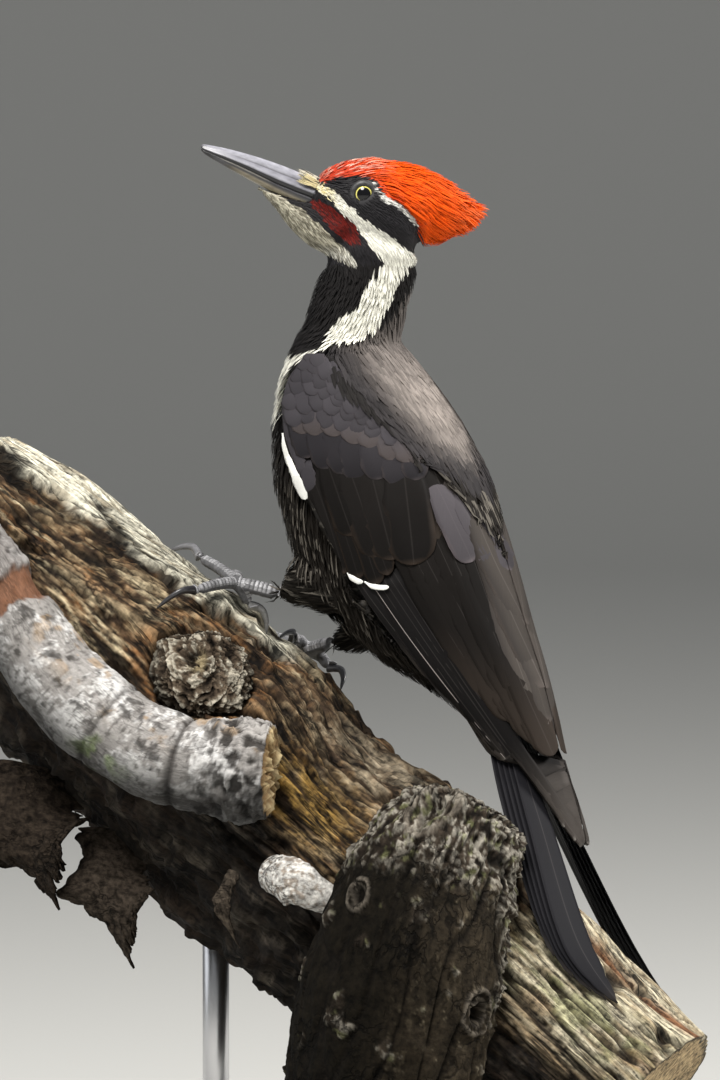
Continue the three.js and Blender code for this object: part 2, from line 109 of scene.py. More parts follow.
def ripple(p, seed=0):  # between about -1 and 1
    cell = np.floor(p).astype(int)
    f = p - cell
    blend = f**3 * (f * (f * 6 - 15) + 10)
    total = np.zeros(len(p))
    for corner in np.ndindex(2, 2, 2):
        x = shuffled[(cell[:, 0] + corner[0] + seed * 17) & 255]
        y = shuffled[(x + cell[:, 1] + corner[1]) & 255]
        z = shuffled[(y + cell[:, 2] + corner[2]) & 255]
        weight = np.where(corner, blend, 1 - blend).prod(1)
        total += (slopes[z] * (f - corner)).sum(1) * weight
    return total * 1.6


def layered(p, octaves=3, seed=0):
    return sum(ripple(p * 2**n, seed + n) / 2**n for n in range(octaves))


def ridged(p, octaves=2, seed=0):  # 1 on sharp ridges, falling to 0
    total = sum((1 - np.abs(ripple(p * 2**n, seed + n)) * 1.3) / 2**n for n in range(octaves))
    return total / (2 - 0.5 ** (octaves - 1))


def terraced(value, edge=0.3):
    level = np.floor(value)
    return level + smoothStep(0.5 - edge / 2, 0.5 + edge / 2, value - level)


# colours: one row for each vertex


def toned(tone, count):
    return np.tile(np.array(tone, float), (count, 1))


def painted(colour, *layers):  # lays each (tone, share) over the colour in turn
    for tone, share in layers:
        share = np.asarray(share, float)[:, None]
        colour = colour * (1 - share) + np.asarray(tone) * share
    return colour


# meshes


def addObject(name, data):
    piece = bpy.data.objects.new(name, data)
    bpy.context.collection.objects.link(piece)
    return piece


def meshObject(name, bm):
    data = bpy.data.meshes.new(name)
    bm.to_mesh(data)
    bm.free()
    return addObject(name, data)


def meshFromRows(name, points, faces):
    data = bpy.data.meshes.new(name)
    data.from_pydata(np.asarray(points).tolist(), [], faces)
    return addObject(name, data)


def tidied(piece, smooth=True):  # faces turned outward
    bm = bmesh.new()
    bm.from_mesh(piece.data)
    bmesh.ops.recalc_face_normals(bm, faces=bm.faces)
    for face in bm.faces:
        face.smooth = smooth
    bm.to_mesh(piece.data)
    bm.free()
    return piece


def readRows(rows, key, width=3, kind=np.float32):
    flat = np.empty(len(rows) * width, kind)
    rows.foreach_get(key, flat)
    return flat.reshape(-1, width)


def pointsOf(data):
    return readRows(data.vertices, "co").astype(float)


def normalsOf(data):
    return readRows(data.vertex_normals, "vector").astype(float)


def trianglesOf(data):
    data.calc_loop_triangles()
    return readRows(data.loop_triangles, "vertices", kind=np.int32)


def edgesOf(data):
    return readRows(data.edges, "vertices", 2, np.int32)


def treeOf(data):
    return BVHTree.FromPolygons(pointsOf(data).tolist(), trianglesOf(data).tolist())


def pinned(piece, *modifiers):  # applies modifiers given as (kind, settings)
    for kind, settings in modifiers:
        modifier = piece.modifiers.new(kind.lower(), kind)
        for key, value in settings.items():
            setattr(modifier, key, value)
    graph = bpy.context.evaluated_depsgraph_get()
    data = bpy.data.meshes.new_from_object(piece.evaluated_get(graph))
    old = piece.data
    piece.modifiers.clear()
    piece.data = data
    data.name = piece.name
    bpy.data.meshes.remove(old)
    return piece


def mergedCopy(nodes, grow=0.0):
    bm = bmesh.new()
    for node in nodes:
        bm.from_mesh(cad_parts[node].data)
    bmesh.ops.remove_doubles(bm, verts=bm.verts, dist=1e-5)
    bm.normal_update()
    for vert in bm.verts:
        vert.co += vert.normal * grow
    return bm


def ringFaces(rings, around, capped=False):  # quads between rings that follow one another
    faces = []
    for i in range(rings - 1):
        for j in range(around):
            a, b = i * around + j, i * around + (j + 1) % around
            faces.append((a, b, b + around, a + around))
    if capped:
        faces.append(tuple(range(around))[::-1])
        faces.append(tuple(range((rings - 1) * around, rings * around)))
    return faces


def sheetFaces(rows, cols):  # a closed thin sheet: outer grid, then inner grid, joined at the rim
    count = rows * cols
    faces = []
    for i in range(rows - 1):
        for j in range(cols - 1):
            a = i * cols + j
            faces.append((a, a + cols, a + cols + 1, a + 1))
            faces.append((count + a, count + a + 1, count + a + cols + 1, count + a + cols))
    rim = [*range(cols), *range(2 * cols - 1, count, cols)]
    rim += [*range(count - 2, count - cols - 1, -1), *range(count - 2 * cols, 0, -cols)]
    for a, b in zip(rim, rim[1:] + rim[:1]):
        faces.append((a, b, count + b, count + a))
    return faces


def addLayer(data, name, rows):  # a value, a vector or a colour for each vertex
    kinds = {1: ("FLOAT", "value"), 3: ("FLOAT_VECTOR", "vector"), 4: ("FLOAT_COLOR", "color")}
    kind, key = kinds[rows.shape[1]]
    data.attributes.new(name, kind, "POINT").data.foreach_set(key, rows.astype(np.float32).ravel())


def dressed(piece, material, slot, *replaced, colour=None, smooth=None, **layers):
    data = piece.data
    if colour is not None:
        colour = np.clip(np.asarray(colour), 0, 1)
        addLayer(data, "coatColour", np.concatenate([colour, np.ones((len(colour), 1))], 1))
    for name, rows in layers.items():
        addLayer(data, name, np.asarray(rows))
    if smooth is not None:
        data.polygons.foreach_set("use_smooth", [smooth] * len(data.polygons))
    data.materials.append(material)
    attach(piece, "root")
    if replaced:
        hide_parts(*replaced)
    print(piece.name, len(data.polygons), "faces")
    return piece


# materials


def nodeMaker(tree):  # adds nodes with their inputs set or linked, and maths nodes
    def add(kind, inputs=(), **settings):
        node = tree.nodes.new("ShaderNode" + kind)
        for key, value in settings.items():
            setattr(node, key, value)
        for key, value in inputs.items() if isinstance(inputs, dict) else enumerate(inputs):
            if isinstance(value, bpy.types.NodeSocket):
                tree.links.new(value, node.inputs[key])
            else:
                node.inputs[key].default_value = value
        return node

    def maths(kind, *inputs):
        return add("Math", inputs, operation=kind).outputs[0]

    return add, maths


def effectGroup(name, **sockets):  # a node group from a colour to an uneven colour and a normal
    group = bpy.data.node_groups.new(name, "ShaderNodeTree")
    rows = [("Colour", "INPUT", "Color")] + [(key, "INPUT", kind) for key, kind in sockets.items()]
    for key, way, kind in rows + [("Colour", "OUTPUT", "Color"), ("Normal", "OUTPUT", "Vector")]:
        group.interface.new_socket(key, in_out=way, socket_type="NodeSocket" + kind)
    start, end = group.nodes.new("NodeGroupInput").outputs, group.nodes.new("NodeGroupOutput").inputs
    add, maths = nodeMaker(group)

    def close(lift, strength, distance, height, line=None):  # line: where a pale line is laid over
        colour = add("VectorMath", {0: start["Colour"], "Scale": lift}, operation="SCALE").outputs[0]
        if line is not None:
            mix = add("Mix", {"Factor": line, 6: colour, 7: (0.42, 0.38, 0.36, 1)}, data_type="RGBA")
            colour = mix.outputs[2]
        relief = add("Bump", {"Strength": strength, "Distance": distance, "Height": height})
        group.links.new(colour, end["Colour"])
        group.links.new(relief.outputs["Normal"], end["Normal"])
        return group

    return start, add, maths, close


def barbsGroup():  # fine barbs that rise with the vane and sweep back from its shaft
    inputs = dict.fromkeys(("Barbs", "Contrast", "Shaft", "Depth"), "Float")
    start, add, maths, close = effectGroup("barbs", **inputs)
    vane = add("SeparateXYZ", [add("Attribute", attribute_name="vane").outputs["Vector"]]).outputs
    across = maths("ABSOLUTE", vane["X"])
    line = maths("SUBTRACT", vane["Y"], maths("MULTIPLY", across, 0.22))
    place = add("CombineXYZ", [
        maths("MULTIPLY", line, start["Barbs"]), maths("MULTIPLY", vane["X"], 1.5),
        maths("MULTIPLY", vane["Z"], 37.0),
    ])
    fibres = add("TexNoise", {"Vector": place.outputs[0], "Scale": 1.0, "Detail": 3.0}).outputs["Fac"]
    uneven = maths("MULTIPLY", maths("SUBTRACT", fibres, 0.5), start["Contrast"])
    lift = maths("ADD", maths("MULTIPLY", uneven, 2.6), 1.0)
    ridge = add("MapRange", {"Value": across, "From Min": 0.05, "From Max": 0.02}).outputs["Result"]
    shaft = maths("MULTIPLY", ridge, start["Shaft"])
    return close(maths("MAXIMUM", lift, 0.1), start["Depth"], 0.0004, fibres, shaft)


def speckleGroup():  # fine uneven tone and relief for horn, scales and lids
    start, add, maths, close = effectGroup("speckle", Grain="Float", Amount="Float", Relief="Float")
    turned = add("Mapping", {
        "Vector": add("TexCoord").outputs["Object"], "Scale": (0.3, 1, 1),
        "Rotation": (0, math.atan(0.41), headTurn),
    })
    grainy = {"Vector": turned.outputs["Vector"], "Scale": start["Grain"], "Detail": 5}
    uneven = add("TexNoise", grainy).outputs["Fac"]
    swing = maths("MULTIPLY", maths("SUBTRACT", uneven, 0.5), 5.0)
    lift = maths("MAXIMUM", maths("ADD", maths("MULTIPLY", swing, start["Amount"]), 1.0), 0.1)
    return close(lift, 0.6, start["Relief"], uneven)


def grainGroup():  # fine fibres, grit and thin dark checks along the grain
    start, add, maths, close = effectGroup(
        "woodGrain", Place="Vector", Stretch="Float", Fibre="Float", Checks="Float", Depth="Float",
    )
    split = add("SeparateXYZ", [start["Place"]]).outputs
    lengthwise = maths("MULTIPLY", split["X"], start["Stretch"])
    drawn = add("CombineXYZ", [lengthwise, split["Y"], split["Z"]]).outputs[0]

    def noiseOf(vector, scale, detail, roughness=0.55):
        inputs = {"Vector": vector, "Scale": scale, "Detail": detail, "Roughness": roughness}
        return add("TexNoise", inputs).outputs["Fac"]

    def ranged(value, low, high):
        return add("MapRange", {"Value": value, "From Min": low, "From Max": high}).outputs["Result"]

    fibre, grit = noiseOf(drawn, 420, 7, 0.72), noiseOf(start["Place"], 430, 7, 0.7)
    both = maths("ADD", maths("MULTIPLY", fibre, 0.62), maths("MULTIPLY", grit, 0.38))
    swing = maths("MULTIPLY", maths("SUBTRACT", both, 0.5), maths("MULTIPLY", start["Fibre"], 7.5))
    lift = maths("MINIMUM", maths("MAXIMUM", maths("ADD", swing, 1.0), 0.12), 1.9)
    checks = []
    for scale, width in ((95, 0.022), (250, 0.034)):
        gap = maths("ABSOLUTE", maths("SUBTRACT", noiseOf(drawn, scale, 3), 0.5))
        checks.append(ranged(gap, width, width * 0.35))
    opened = ranged(noiseOf(start["Place"], 42, 2), 0.42, 0.6)
    dark = maths("MULTIPLY", maths("MULTIPLY", maths("MAXIMUM", *checks), opened), start["Checks"])
    shade = maths("MULTIPLY", lift, maths("SUBTRACT", 1.0, maths("MULTIPLY", dark, 0.92)))
    height = maths("SUBTRACT", both, maths("MULTIPLY", dark, 0.7))
    return close(shade, start["Depth"], 0.0009, height)


barbs, speckle, woodGrain = barbsGroup(), speckleGroup(), grainGroup()


def principled(name, **sockets):
    material = bpy.data.materials.new(name)
    material.use_nodes = True
    shader = material.node_tree.nodes["Principled BSDF"]
    for socket, value in sockets.items():
        shader.inputs[socket.replace("_", " ")].default_value = value
    return material, shader


def plainMaterial(name, colour, roughness, **sockets):
    return principled(name, Base_Color=(*colour, 1), Roughness=roughness, **sockets)[0]


def patternedMaterial(name, group, settings, attributes, **sockets):
    material, shader = principled(name, **sockets)
    add, _ = nodeMaker(material.node_tree)
    inputs = dict(settings)
    for socket, (attribute, output) in {"Colour": ("coatColour", "Color"), **attributes}.items():
        inputs[socket] = add("Attribute", attribute_name=attribute).outputs[output]
    pattern = add("Group", inputs, node_tree=group)
    material.node_tree.links.new(pattern.outputs["Colour"], shader.inputs["Base Color"])
    material.node_tree.links.new(pattern.outputs["Normal"], shader.inputs["Normal"])
    return material


def featherMaterial(name, roughness, count, contrast, depth=0.3, gloss=0.12, shafted=False):
    settings = {"Barbs": count, "Contrast": contrast, "Depth": depth}
    attributes = {"Shaft": ("shaft", "Fac")} if shafted else {}
    return patternedMaterial(name, barbs, settings, attributes, Roughness=roughness, Specular_IOR_Level=gloss)


def hornMaterial(name, roughness, grain, amount, relief, coat=0.0):
    settings = {"Grain": grain, "Amount": amount, "Relief": relief}
    return patternedMaterial(name, speckle, settings, {}, Roughness=roughness, Coat_Weight=coat)


def woodMaterial(name, stretch=0.12, fibre=0.6, checks=0.6, depth=0.9, roughness=0.82, gloss=0.16):
    settings = {"Stretch": stretch, "Fibre": fibre, "Checks": checks, "Depth": depth}
    sockets = {"Roughness": roughness, "Specular_IOR_Level": gloss}
    return patternedMaterial(name, woodGrain, settings, {"Place": ("grain", "Vector")}, **sockets)


# camera, floor and light

studio = {
    "target": (0, 0, 0.348), "distance": 4.0, "lowering": math.radians(3), "frameHeight": 0.486, "sensor": 36.0,
    "lamps": {
        "key": {"at": (0.2, -1.8, 2.9), "size": 1.5, "power": 150, "colour": (1.0, 0.97, 0.93)},
        "fill": {"at": (-2.4, -1.2, 1.2), "size": 2.2, "power": 14, "colour": (0.93, 0.96, 1.0)},
        "rim": {"at": (1.9, 0.9, 1.9), "size": 1.0, "power": 80, "colour": (1.0, 0.98, 0.95)},
    },
    "sky": (0.86, 0.88, 0.9), "skyStrength": 0.26, "floor": (0.52, 0.52, 0.50), "floorHalf": 6,
    "curveSteps": 10, "curveStep": 0.5, "wall": 8,
}


def aimed(name, data, at):  # a camera or lamp that looks at the bird
    thing = addObject(name, data)
    thing.location = at
    aim = Vector(studio["target"]) - Vector(at)
    thing.rotation_euler = aim.to_track_quat("-Z", "Y").to_euler()
    return thing


def setCamera():
    side = -toRight * math.cos(studio["lowering"]) + upward * math.sin(studio["lowering"])
    data = bpy.data.cameras.new("camera")
    data.sensor_fit = "AUTO"
    data.sensor_width = studio["sensor"]
    data.lens = studio["sensor"] * studio["distance"] / studio["frameHeight"]
    data.clip_end = 50
    at = Vector(studio["target"]) + side * studio["distance"]
    bpy.context.scene.camera = aimed("camera", data, at)


def studioFloor():
    bm = bmesh.new()
    bmesh.ops.create_grid(bm, x_segments=1, y_segments=1, size=studio["floorHalf"])
    far = [e for e in bm.edges if all(v.co.y > studio["floorHalf"] - 1 for v in e.verts)]
    turns = [math.pi / 2 * (step + 0.5) / studio["curveSteps"] for step in range(studio["curveSteps"])]
    rises = [(0, studio["curveStep"] * math.cos(turn), studio["curveStep"] * math.sin(turn)) for turn in turns]
    for rise in rises + [(0, 0, studio["wall"])]:  # the floor curves up into a backdrop
        raised = bmesh.ops.extrude_edge_only(bm, edges=far)["geom"]
        far = [g for g in raised if isinstance(g, bmesh.types.BMEdge)]
        bmesh.ops.translate(bm, verts=[g for g in raised if isinstance(g, bmesh.types.BMVert)], vec=rise)
    for face in bm.faces:
        face.smooth = True
    bmesh.ops.rotate(bm, verts=bm.verts, matrix=Matrix.Rotation(headTurn, 3, "Z"))
    floor = meshObject("studio_floor", bm)
    floor.data.materials.append(plainMaterial("paleFloor", studio["floor"], 0.7))


def studioLight():
    for name, spec in studio["lamps"].items():
        data = bpy.data.lights.new(name, "AREA")
        data.shape, data.size = "DISK", spec["size"]
        data.energy, data.color = spec["power"], spec["colour"]
        aimed(name, data, spec["at"])
    world = bpy.data.worlds.new("softSky")
    world.use_nodes = True
    background = world.node_tree.nodes["Background"]
    background.inputs["Color"].default_value = (*studio["sky"], 1)
    background.inputs["Strength"].default_value = studio["skyStrength"]
    bpy.context.scene.world = world
    bpy.context.scene.view_settings.view_transform = "Standard"


# the bird unfolded: every point as it lies on the left side

neckTop, neckFoot = -30.0, -75.0  # mm over the eyes where the head's turn starts to run out, and where it has


def turnAt(up):
    return headTurn * (1 - smoothStep(0, 1, (neckTop - up) / (neckTop - neckFoot)))


def mirroredLeft(points):  # points in metres, right-hand ones put over to the left
    up = (points[:, 2] - eyeMiddle.z) / mm
    turn = turnAt(up)
    side = np.stack([-np.sin(turn), np.cos(turn), 0 * turn], 1)
    away = ((points - np.array(eyeMiddle)) * side).sum(1)
    onRight = away > 0
    return points - side * (2 * away * onRight)[:, None], onRight, side


def unfold(points):  # (back, up) in mm from the eye, seen square to the head's side
    left, _, _ = mirroredLeft(points)
    offset = (left - np.array(eyeMiddle)) / mm
    return np.stack([offset @ np.array(toBack), offset[:, 2]], 1)


def inside(outline, flat):  # which flat points lie in the outline
    ring = np.asarray(outline, float)
    x, y = flat[:, 0], flat[:, 1]
    hit = np.zeros(len(flat), bool)
    for (x0, y0), (x1, y1) in zip(ring, np.roll(ring, -1, 0)):
        crosses = (y0 > y) != (y1 > y)
        hit ^= crosses & (x < (x1 - x0) * (y - y0) / (y1 - y0 + 1e-12) + x0)
    return hit


def nearLine(line, flat):  # mm from a line of points
    best = np.full(len(flat), 1e9)
    line = np.asarray(line, float)
    for a, b in zip(line[:-1], line[1:]):
        t = np.clip(((flat - a) @ (b - a)) / ((b - a) @ (b - a)), 0, 1)
        best = np.minimum(best, np.linalg.norm(flat - a - t[:, None] * (b - a), axis=1))
    return best


# markings, drawn on the unfolded bird: mm back from and up from the eye

tint = {
    "black": (0.011, 0.010, 0.010),
    "mask": (0.016, 0.015, 0.017),
    "breast": (0.0135, 0.012, 0.0115),
    "flank": (0.0115, 0.0095, 0.0075),
    "fleck": (0.21, 0.19, 0.16),
    "white": (0.80, 0.79, 0.70),
    "lores": (0.78, 0.66, 0.30),
    "throat": (0.50, 0.47, 0.37),
    "red": (0.62, 0.050, 0.006),
    "orange": (0.76, 0.085, 0.003),
    "forehead": (0.50, 0.060, 0.030),
    "paleTip": (0.72, 0.55, 0.45),
    "malar": (0.135, 0.0105, 0.0075),
    "mantle": (0.235, 0.205, 0.184),
    "mantleDark": (0.026, 0.0235, 0.0245),
}
crown = [
    (-25, 8.5), (-30, 12), (-24, 34), (30, 34), (90, 14), (90, -30), (46, -31), (33, -30.5),
    (27, -26.5), (27, -22), (26, -18), (24.5, -13.5), (20.5, -7.5), (16.5, -3.5), (12, -2),
    (9.5, 0), (7, 5), (3.5, 7.5), (-3.5, 8.5), (-9.5, 8), (-12.5, 6.5), (-16.5, 5.5), (-22, 6),
]
browLine = [(9.5, -1.5), (13, -3.5), (17.5, -5.5), (21, -9), (24, -13)]
eyeArc = [(4.6, 5.2), (6.6, 3.2), (7.0, 0.4)]
cheekStripe = [
    (-24.5, 5.5), (-18, 4.5), (-16, 3), (-12.5, 1), (-10, -1.5), (-7, -4.5), (-3.5, -7), (-2, -10),
    (3.5, -13.5), (9, -17), (15.5, -21.5), (20, -25.5), (24, -27.5), (26.5, -27), (24, -31.5),
    (20.5, -36), (17, -40.5), (14, -44.5), (13, -48.5), (10, -53), (8, -58.5), (6.5, -62),
    (4, -65), (-2.5, -66.5), (-8.5, -67), (-14.5, -68.5), (-20.5, -71), (-20, -68), (-16.5, -61.5),
    (-13, -57.5), (-8.5, -55.5), (-2.5, -51), (-1.5, -46.5), (2, -41.5), (8, -35.5),
    (9, -30.5), (6, -27), (3.5, -24.5), (0.5, -20.5), (-2, -17), (-4, -14.5), (-6.5, -11.5),
    (-9.5, -9.5), (-12, -6.5), (-13.5, -4), (-17, -1), (-20, 1),
]
wingEdge = [(-18.5, -69), (-28.5, -72.5), (-34.5, -76), (-37.5, -82.5), (-39.5, -89), (-40.5, -97), (-40, -104)]
malar = [
    (-24, -3), (-20, -3.5), (-16, -5), (-13.5, -6.5), (-10.5, -9), (-7, -11), (-4, -14.5),
    (-2, -18), (-1.5, -21), (-2.5, -23.5), (-6, -23), (-8.5, -21), (-11.5, -18.5),
    (-14.5, -15.5), (-17, -12.5), (-19.5, -9), (-22, -7),
]
throat = [
    (-60, 4), (-44, 3), (-37, -1), (-31, -5), (-27.5, -6.5), (-25, -9), (-20, -13), (-16, -17.5),
    (-13.5, -20.5), (-9.5, -24), (-6, -27), (-3.5, -30.5), (-2.5, -33.5), (-6.5, -32.5),
    (-10.5, -30.5), (-14.5, -28), (-22, -28), (-60, -22),
]
mantleEdge = [
    (4, -65), (-2.5, -67), (-8.5, -67.5), (-14.5, -69), (-16.5, -72), (-12, -79), (-3, -88), (8, -100),
    (19, -112), (29, -121), (45, -131), (56, -138), (74, -150), (110, -150), (110, -40), (30, -34),
    (20, -46), (14, -56),
]
mantleSeam = mantleEdge[4:14]  # where the mantle meets the wing


def plumage(points, luck):  # colours for points of the coat; luck is one random number for each
    flat = unfold(points)
    wander = np.stack([np.sin(flat[:, 1] * 1.7 + luck * 9), np.cos(flat[:, 0] * 1.5 + luck * 7)], 1)
    flat = flat + wander * 0.35
    back, up = flat.T
    left, _, side = mirroredLeft(points)
    out = -((left - np.array(eyeMiddle)) * side).sum(1) / mm
    onMantle, onThroat, onStripe, onMalar, onCap = (
        inside(outline, flat) for outline in (mantleEdge, throat, cheekStripe, malar, crown)
    )
    flank = smoothStep(-112, -140, up)
    bars = np.sin(up * 1.15 + back * 0.55 + np.sin(back * 0.4) * 1.2)
    fleck = smoothStep(0.45, 0.9, bars) * flank * (luck > 0.45) * smoothStep(-215, -190, up)
    # paler away from the wing seam and lower down; the dark edge along the seam is a painted shadow under the
    # mantle's overhang
    shade = smoothStep(2, 22, nearLine(mantleSeam, flat)) * (0.32 + 0.68 * smoothStep(-62, -96, up))
    paler = np.clip(shade * (0.72 + 0.5 * luck), 0, 1)
    mantle = painted(toned(tint["mantleDark"], len(flat)), (tint["mantle"], paler))
    nearBill = onStripe * smoothStep(-9, -19, back) * (0.45 + 0.55 * (luck > 0.4)) * (up > -12)
    browLines = ((browLine, 1.9), (eyeArc, 0.7))
    brow = [(nearLine(line, flat) < reach) * (0.35 + 0.6 * (luck > 0.3)) for line, reach in browLines]
    onWingEdge = (out > 11 - 7 * (up > -74)) & (nearLine(wingEdge, flat) < np.where(up < -74, 2.0, 1.0))
    cap = painted(
        toned(tint["red"], len(flat)),
        (tint["orange"], smoothStep(2, 26, back + up * 0.4)),
        (tint["forehead"], smoothStep(6, -10, back) * 0.8),
        (tint["paleTip"], (luck > 0.72) * smoothStep(20, -6, back) * smoothStep(6, 13, up) * 0.62),
        ((0.45, 0.02, 0.004), (luck < 0.16) * 0.55),
    )
    return painted(
        toned(tint["black"], len(flat)),
        (tint["mask"], up > -32),
        (tint["breast"], smoothStep(-66, -96, up) * (up <= -32)),
        (tint["flank"], flank),
        (tint["fleck"], fleck * 0.5),
        (mantle, onMantle),
        (tint["throat"], onThroat),
        ((0.68, 0.67, 0.60), onThroat * smoothStep(-22, -28, up) * 0.8),
        ((0.085, 0.075, 0.05), onThroat * (luck > 0.66) * 0.72),
        (tint["white"], onStripe),
        (tint["lores"], nearBill),
        ((0.35, 0.33, 0.28), onStripe * (luck > 0.8) * 0.25 * smoothStep(-30, -10, up)),
        ((0.62, 0.62, 0.58), brow[0]),
        ((0.62, 0.62, 0.58), brow[1]),
        (tint["white"], onWingEdge & (luck > 0.12)),
        (tint["malar"], onMalar),
        (tint["black"], onMalar * (luck > 0.78) * 0.7),
        (cap, onCap),
    )


# the lie of the coat: (back, up) places and which way the plumage runs there

lie = [
    (-26, 8, 0.85, 0.5), (-18, 12, 0.86, 0.5), (-8, 17, 0.95, 0.3), (4, 20, 1, 0.02), (20, 17, 0.95, -0.25),
    (34, 12, 0.87, -0.45), (46, 2, 0.88, -0.42), (30, 3, 0.92, -0.35), (20, 4, 0.93, -0.33),
    (8, 10, 0.97, -0.2),
    (14, 0, 0.88, -0.45), (24, -8, 0.86, -0.5), (34, -6, 0.93, -0.36), (32, -16, 0.88, -0.46),
    (29, -25, 0.72, -0.68), (-20, 3, 0.85, -0.5), (-14, 2, 0.8, -0.55), (-7, 4, 0.85, 0.2), (0, 8, 0.95, 0.05),
    (-7, -3, 0.7, -0.7), (8, -6, 0.85, -0.5), (14, -12, 0.8, -0.6), (22, -20, 0.7, -0.72),
    (-18, -2, 0.72, -0.68), (-5, -12, 0.66, -0.75), (6, -22, 0.6, -0.8), (-12, -12, 0.76, -0.64),
    (-38, -4, 0.82, -0.56), (-28, -10, 0.8, -0.6), (-18, -20, 0.76, -0.66), (-8, -28, 0.55, -0.83),
    (6, -34, -0.25, -0.97), (18, -32, 0.1, -1), (14, -42, -0.3, -0.95), (2, -48, -0.42, -0.9),
    (-12, -44, -0.35, -0.94), (18, -50, 0, -1), (-2, -60, -0.5, -0.86), (-16, -60, -0.5, -0.86),
    (8, -62, 0.05, -1), (-24, -72, -0.6, -0.8), (-12, -76, 0.35, -0.94), (4, -76, 0.62, -0.78),
    (20, -90, 0.62, -0.78), (6, -98, 0.66, -0.75), (36, -110, 0.52, -0.86), (24, -118, 0.62, -0.78),
    (50, -130, 0.45, -0.9), (60, -160, 0.4, -0.92), (70, -200, 0.36, -0.93), (-40, -100, -0.02, -1),
    (-42, -120, 0.12, -1), (-34, -150, 0.3, -0.95), (-22, -175, 0.3, -0.95), (-8, -190, 0.35, -0.94),
    (10, -205, 0.55, -0.83), (30, -222, 0.6, -0.8), (50, -245, 0.5, -0.87),
]
ankles = {side: np.array(middleOf(f"leg_{side}")) for side in sides}


def headings(points, onThigh):  # which way a feather lies at each point, on a thigh down to its ankle
    if onThigh:
        away = [np.linalg.norm(points - ankles[side], axis=1) for side in sides]
        return unit(np.where((away[0] < away[1])[:, None], ankles["left"], ankles["right"]) - points)
    flat = unfold(points)
    table = np.array(lie)
    gap = flat[:, None, :] - table[None, :, :2]
    weight = 1 / (np.square(gap).sum(-1) + 9) ** 1.6
    way = (weight[:, :, None] * table[None, :, 2:]).sum(1) / weight.sum(1)[:, None]
    turn = turnAt(flat[:, 1])
    ahead = np.stack([np.cos(turn), np.sin(turn), 0 * turn], 1)
    return ahead * way[:, :1] + np.array(upward) * way[:, 1:]


# one skin for all the flesh

fleshNodes = ["trunk", "neck", "head", "crest"]
fleshNodes += [f"{part}_{side}" for part in ("thigh", "leg", "wing_coverts") for side in sides]
quillNodes = [f"{part}_{side}" for part in ("secondaries", "primaries") for side in sides]
skinShape = {
    "overlap": 0.00035,  # closes the thin cuts between the parts
    "voxel": 0.00105, "rounds": 34, "legRounds": 5,
    "coat": {"trunk": 3.4, "neck": 2.6, "head": 1.3, "crest": 3.0, "thigh": 2.4, "leg": 0.1, "wing": 3.4},
    "faceCoat": 0.8,
}


def nearestNodes(points, nodes):  # the number of the node nearest to each point
    corners, faces, owners = [], [], []
    for index, node in enumerate(nodes):
        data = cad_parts[node].data
        triangles = trianglesOf(data) + len(corners)
        corners.extend(pointsOf(data).tolist())
        faces.extend(triangles.tolist())
        owners.extend([index] * len(triangles))
    tree = BVHTree.FromPolygons(corners, faces)
    return np.array([owners[tree.find_nearest(p)[2]] for p in points.tolist()])


def kindsAt(points, nodes):  # the first word of that node's name
    return np.array([node.split("_")[0] for node in nodes])[nearestNodes(points, nodes)]


def spread(values, edges, rounds):  # evens a value out over a mesh's neighbours
    for _ in range(rounds):
        total = values.copy()
        count = np.ones(len(values))
        np.add.at(total, edges[:, 0], values[edges[:, 1]])
        np.add.at(total, edges[:, 1], values[edges[:, 0]])
        np.add.at(count, edges.ravel(), 1)
        values = total / count
    return values


def softened(nodes, name):  # the parts' own outer form, closed and rounded
    piece = meshObject(name, mergedCopy(nodes, skinShape["overlap"]))
    pinned(piece, ("REMESH", {"mode": "VOXEL", "voxel_size": skinShape["voxel"]}))
    onBody = (kindsAt(pointsOf(piece.data), nodes) != "leg").astype(float)
    soft = spread(onBody, edgesOf(piece.data), 6)
    group = piece.vertex_groups.new(name="soft")
    for level in range(5):
        chosen = np.nonzero((soft > level / 5) & (soft <= (level + 1) / 5))[0]
        group.add(chosen.tolist(), (level + 0.5) / 5, "REPLACE")
    gentle = ("SMOOTH", {"factor": 0.5, "iterations": skinShape["legRounds"]})
    strong = ("SMOOTH", {"factor": 0.5, "iterations": skinShape["rounds"], "vertex_group": "soft"})
    return pinned(piece, gentle, strong)


def buildSkin():
    skin = softened(fleshNodes, "skin")
    points = pointsOf(skin.data)
    kinds = kindsAt(points, fleshNodes)
    flat = unfold(points)
    depth = np.array([skinShape["coat"][kind] for kind in kinds])
    depth[(kinds == "head") & (flat[:, 0] < 18) & (flat[:, 1] < 8)] = skinShape["faceCoat"]
    depth = spread(depth, edgesOf(skin.data), 12) * mm
    points = points - normalsOf(skin.data) * depth[:, None]
    skin.data.vertices.foreach_set("co", points.astype(np.float32).ravel())
    skin.data.update()
    points = pointsOf(skin.data)
    colour = plumage(points, dice.random(len(points)))
    onLeg = kindsAt(points, fleshNodes) == "leg"
    grey = np.array([noise.noise(Vector(p) * 700) for p in points[onLeg].tolist()])
    colour[onLeg] = (0.105 + 0.06 * grey)[:, None] * np.array((1, 1, 1.05))
    finish = featherMaterial("skinFinish", 0.6, 40, 0.0, gloss=0.35)
    dressed(skin, finish, "body_feathers", *fleshNodes, colour=colour, smooth=True)
    return skin, depth


# small feathers: joined vanes over the skin


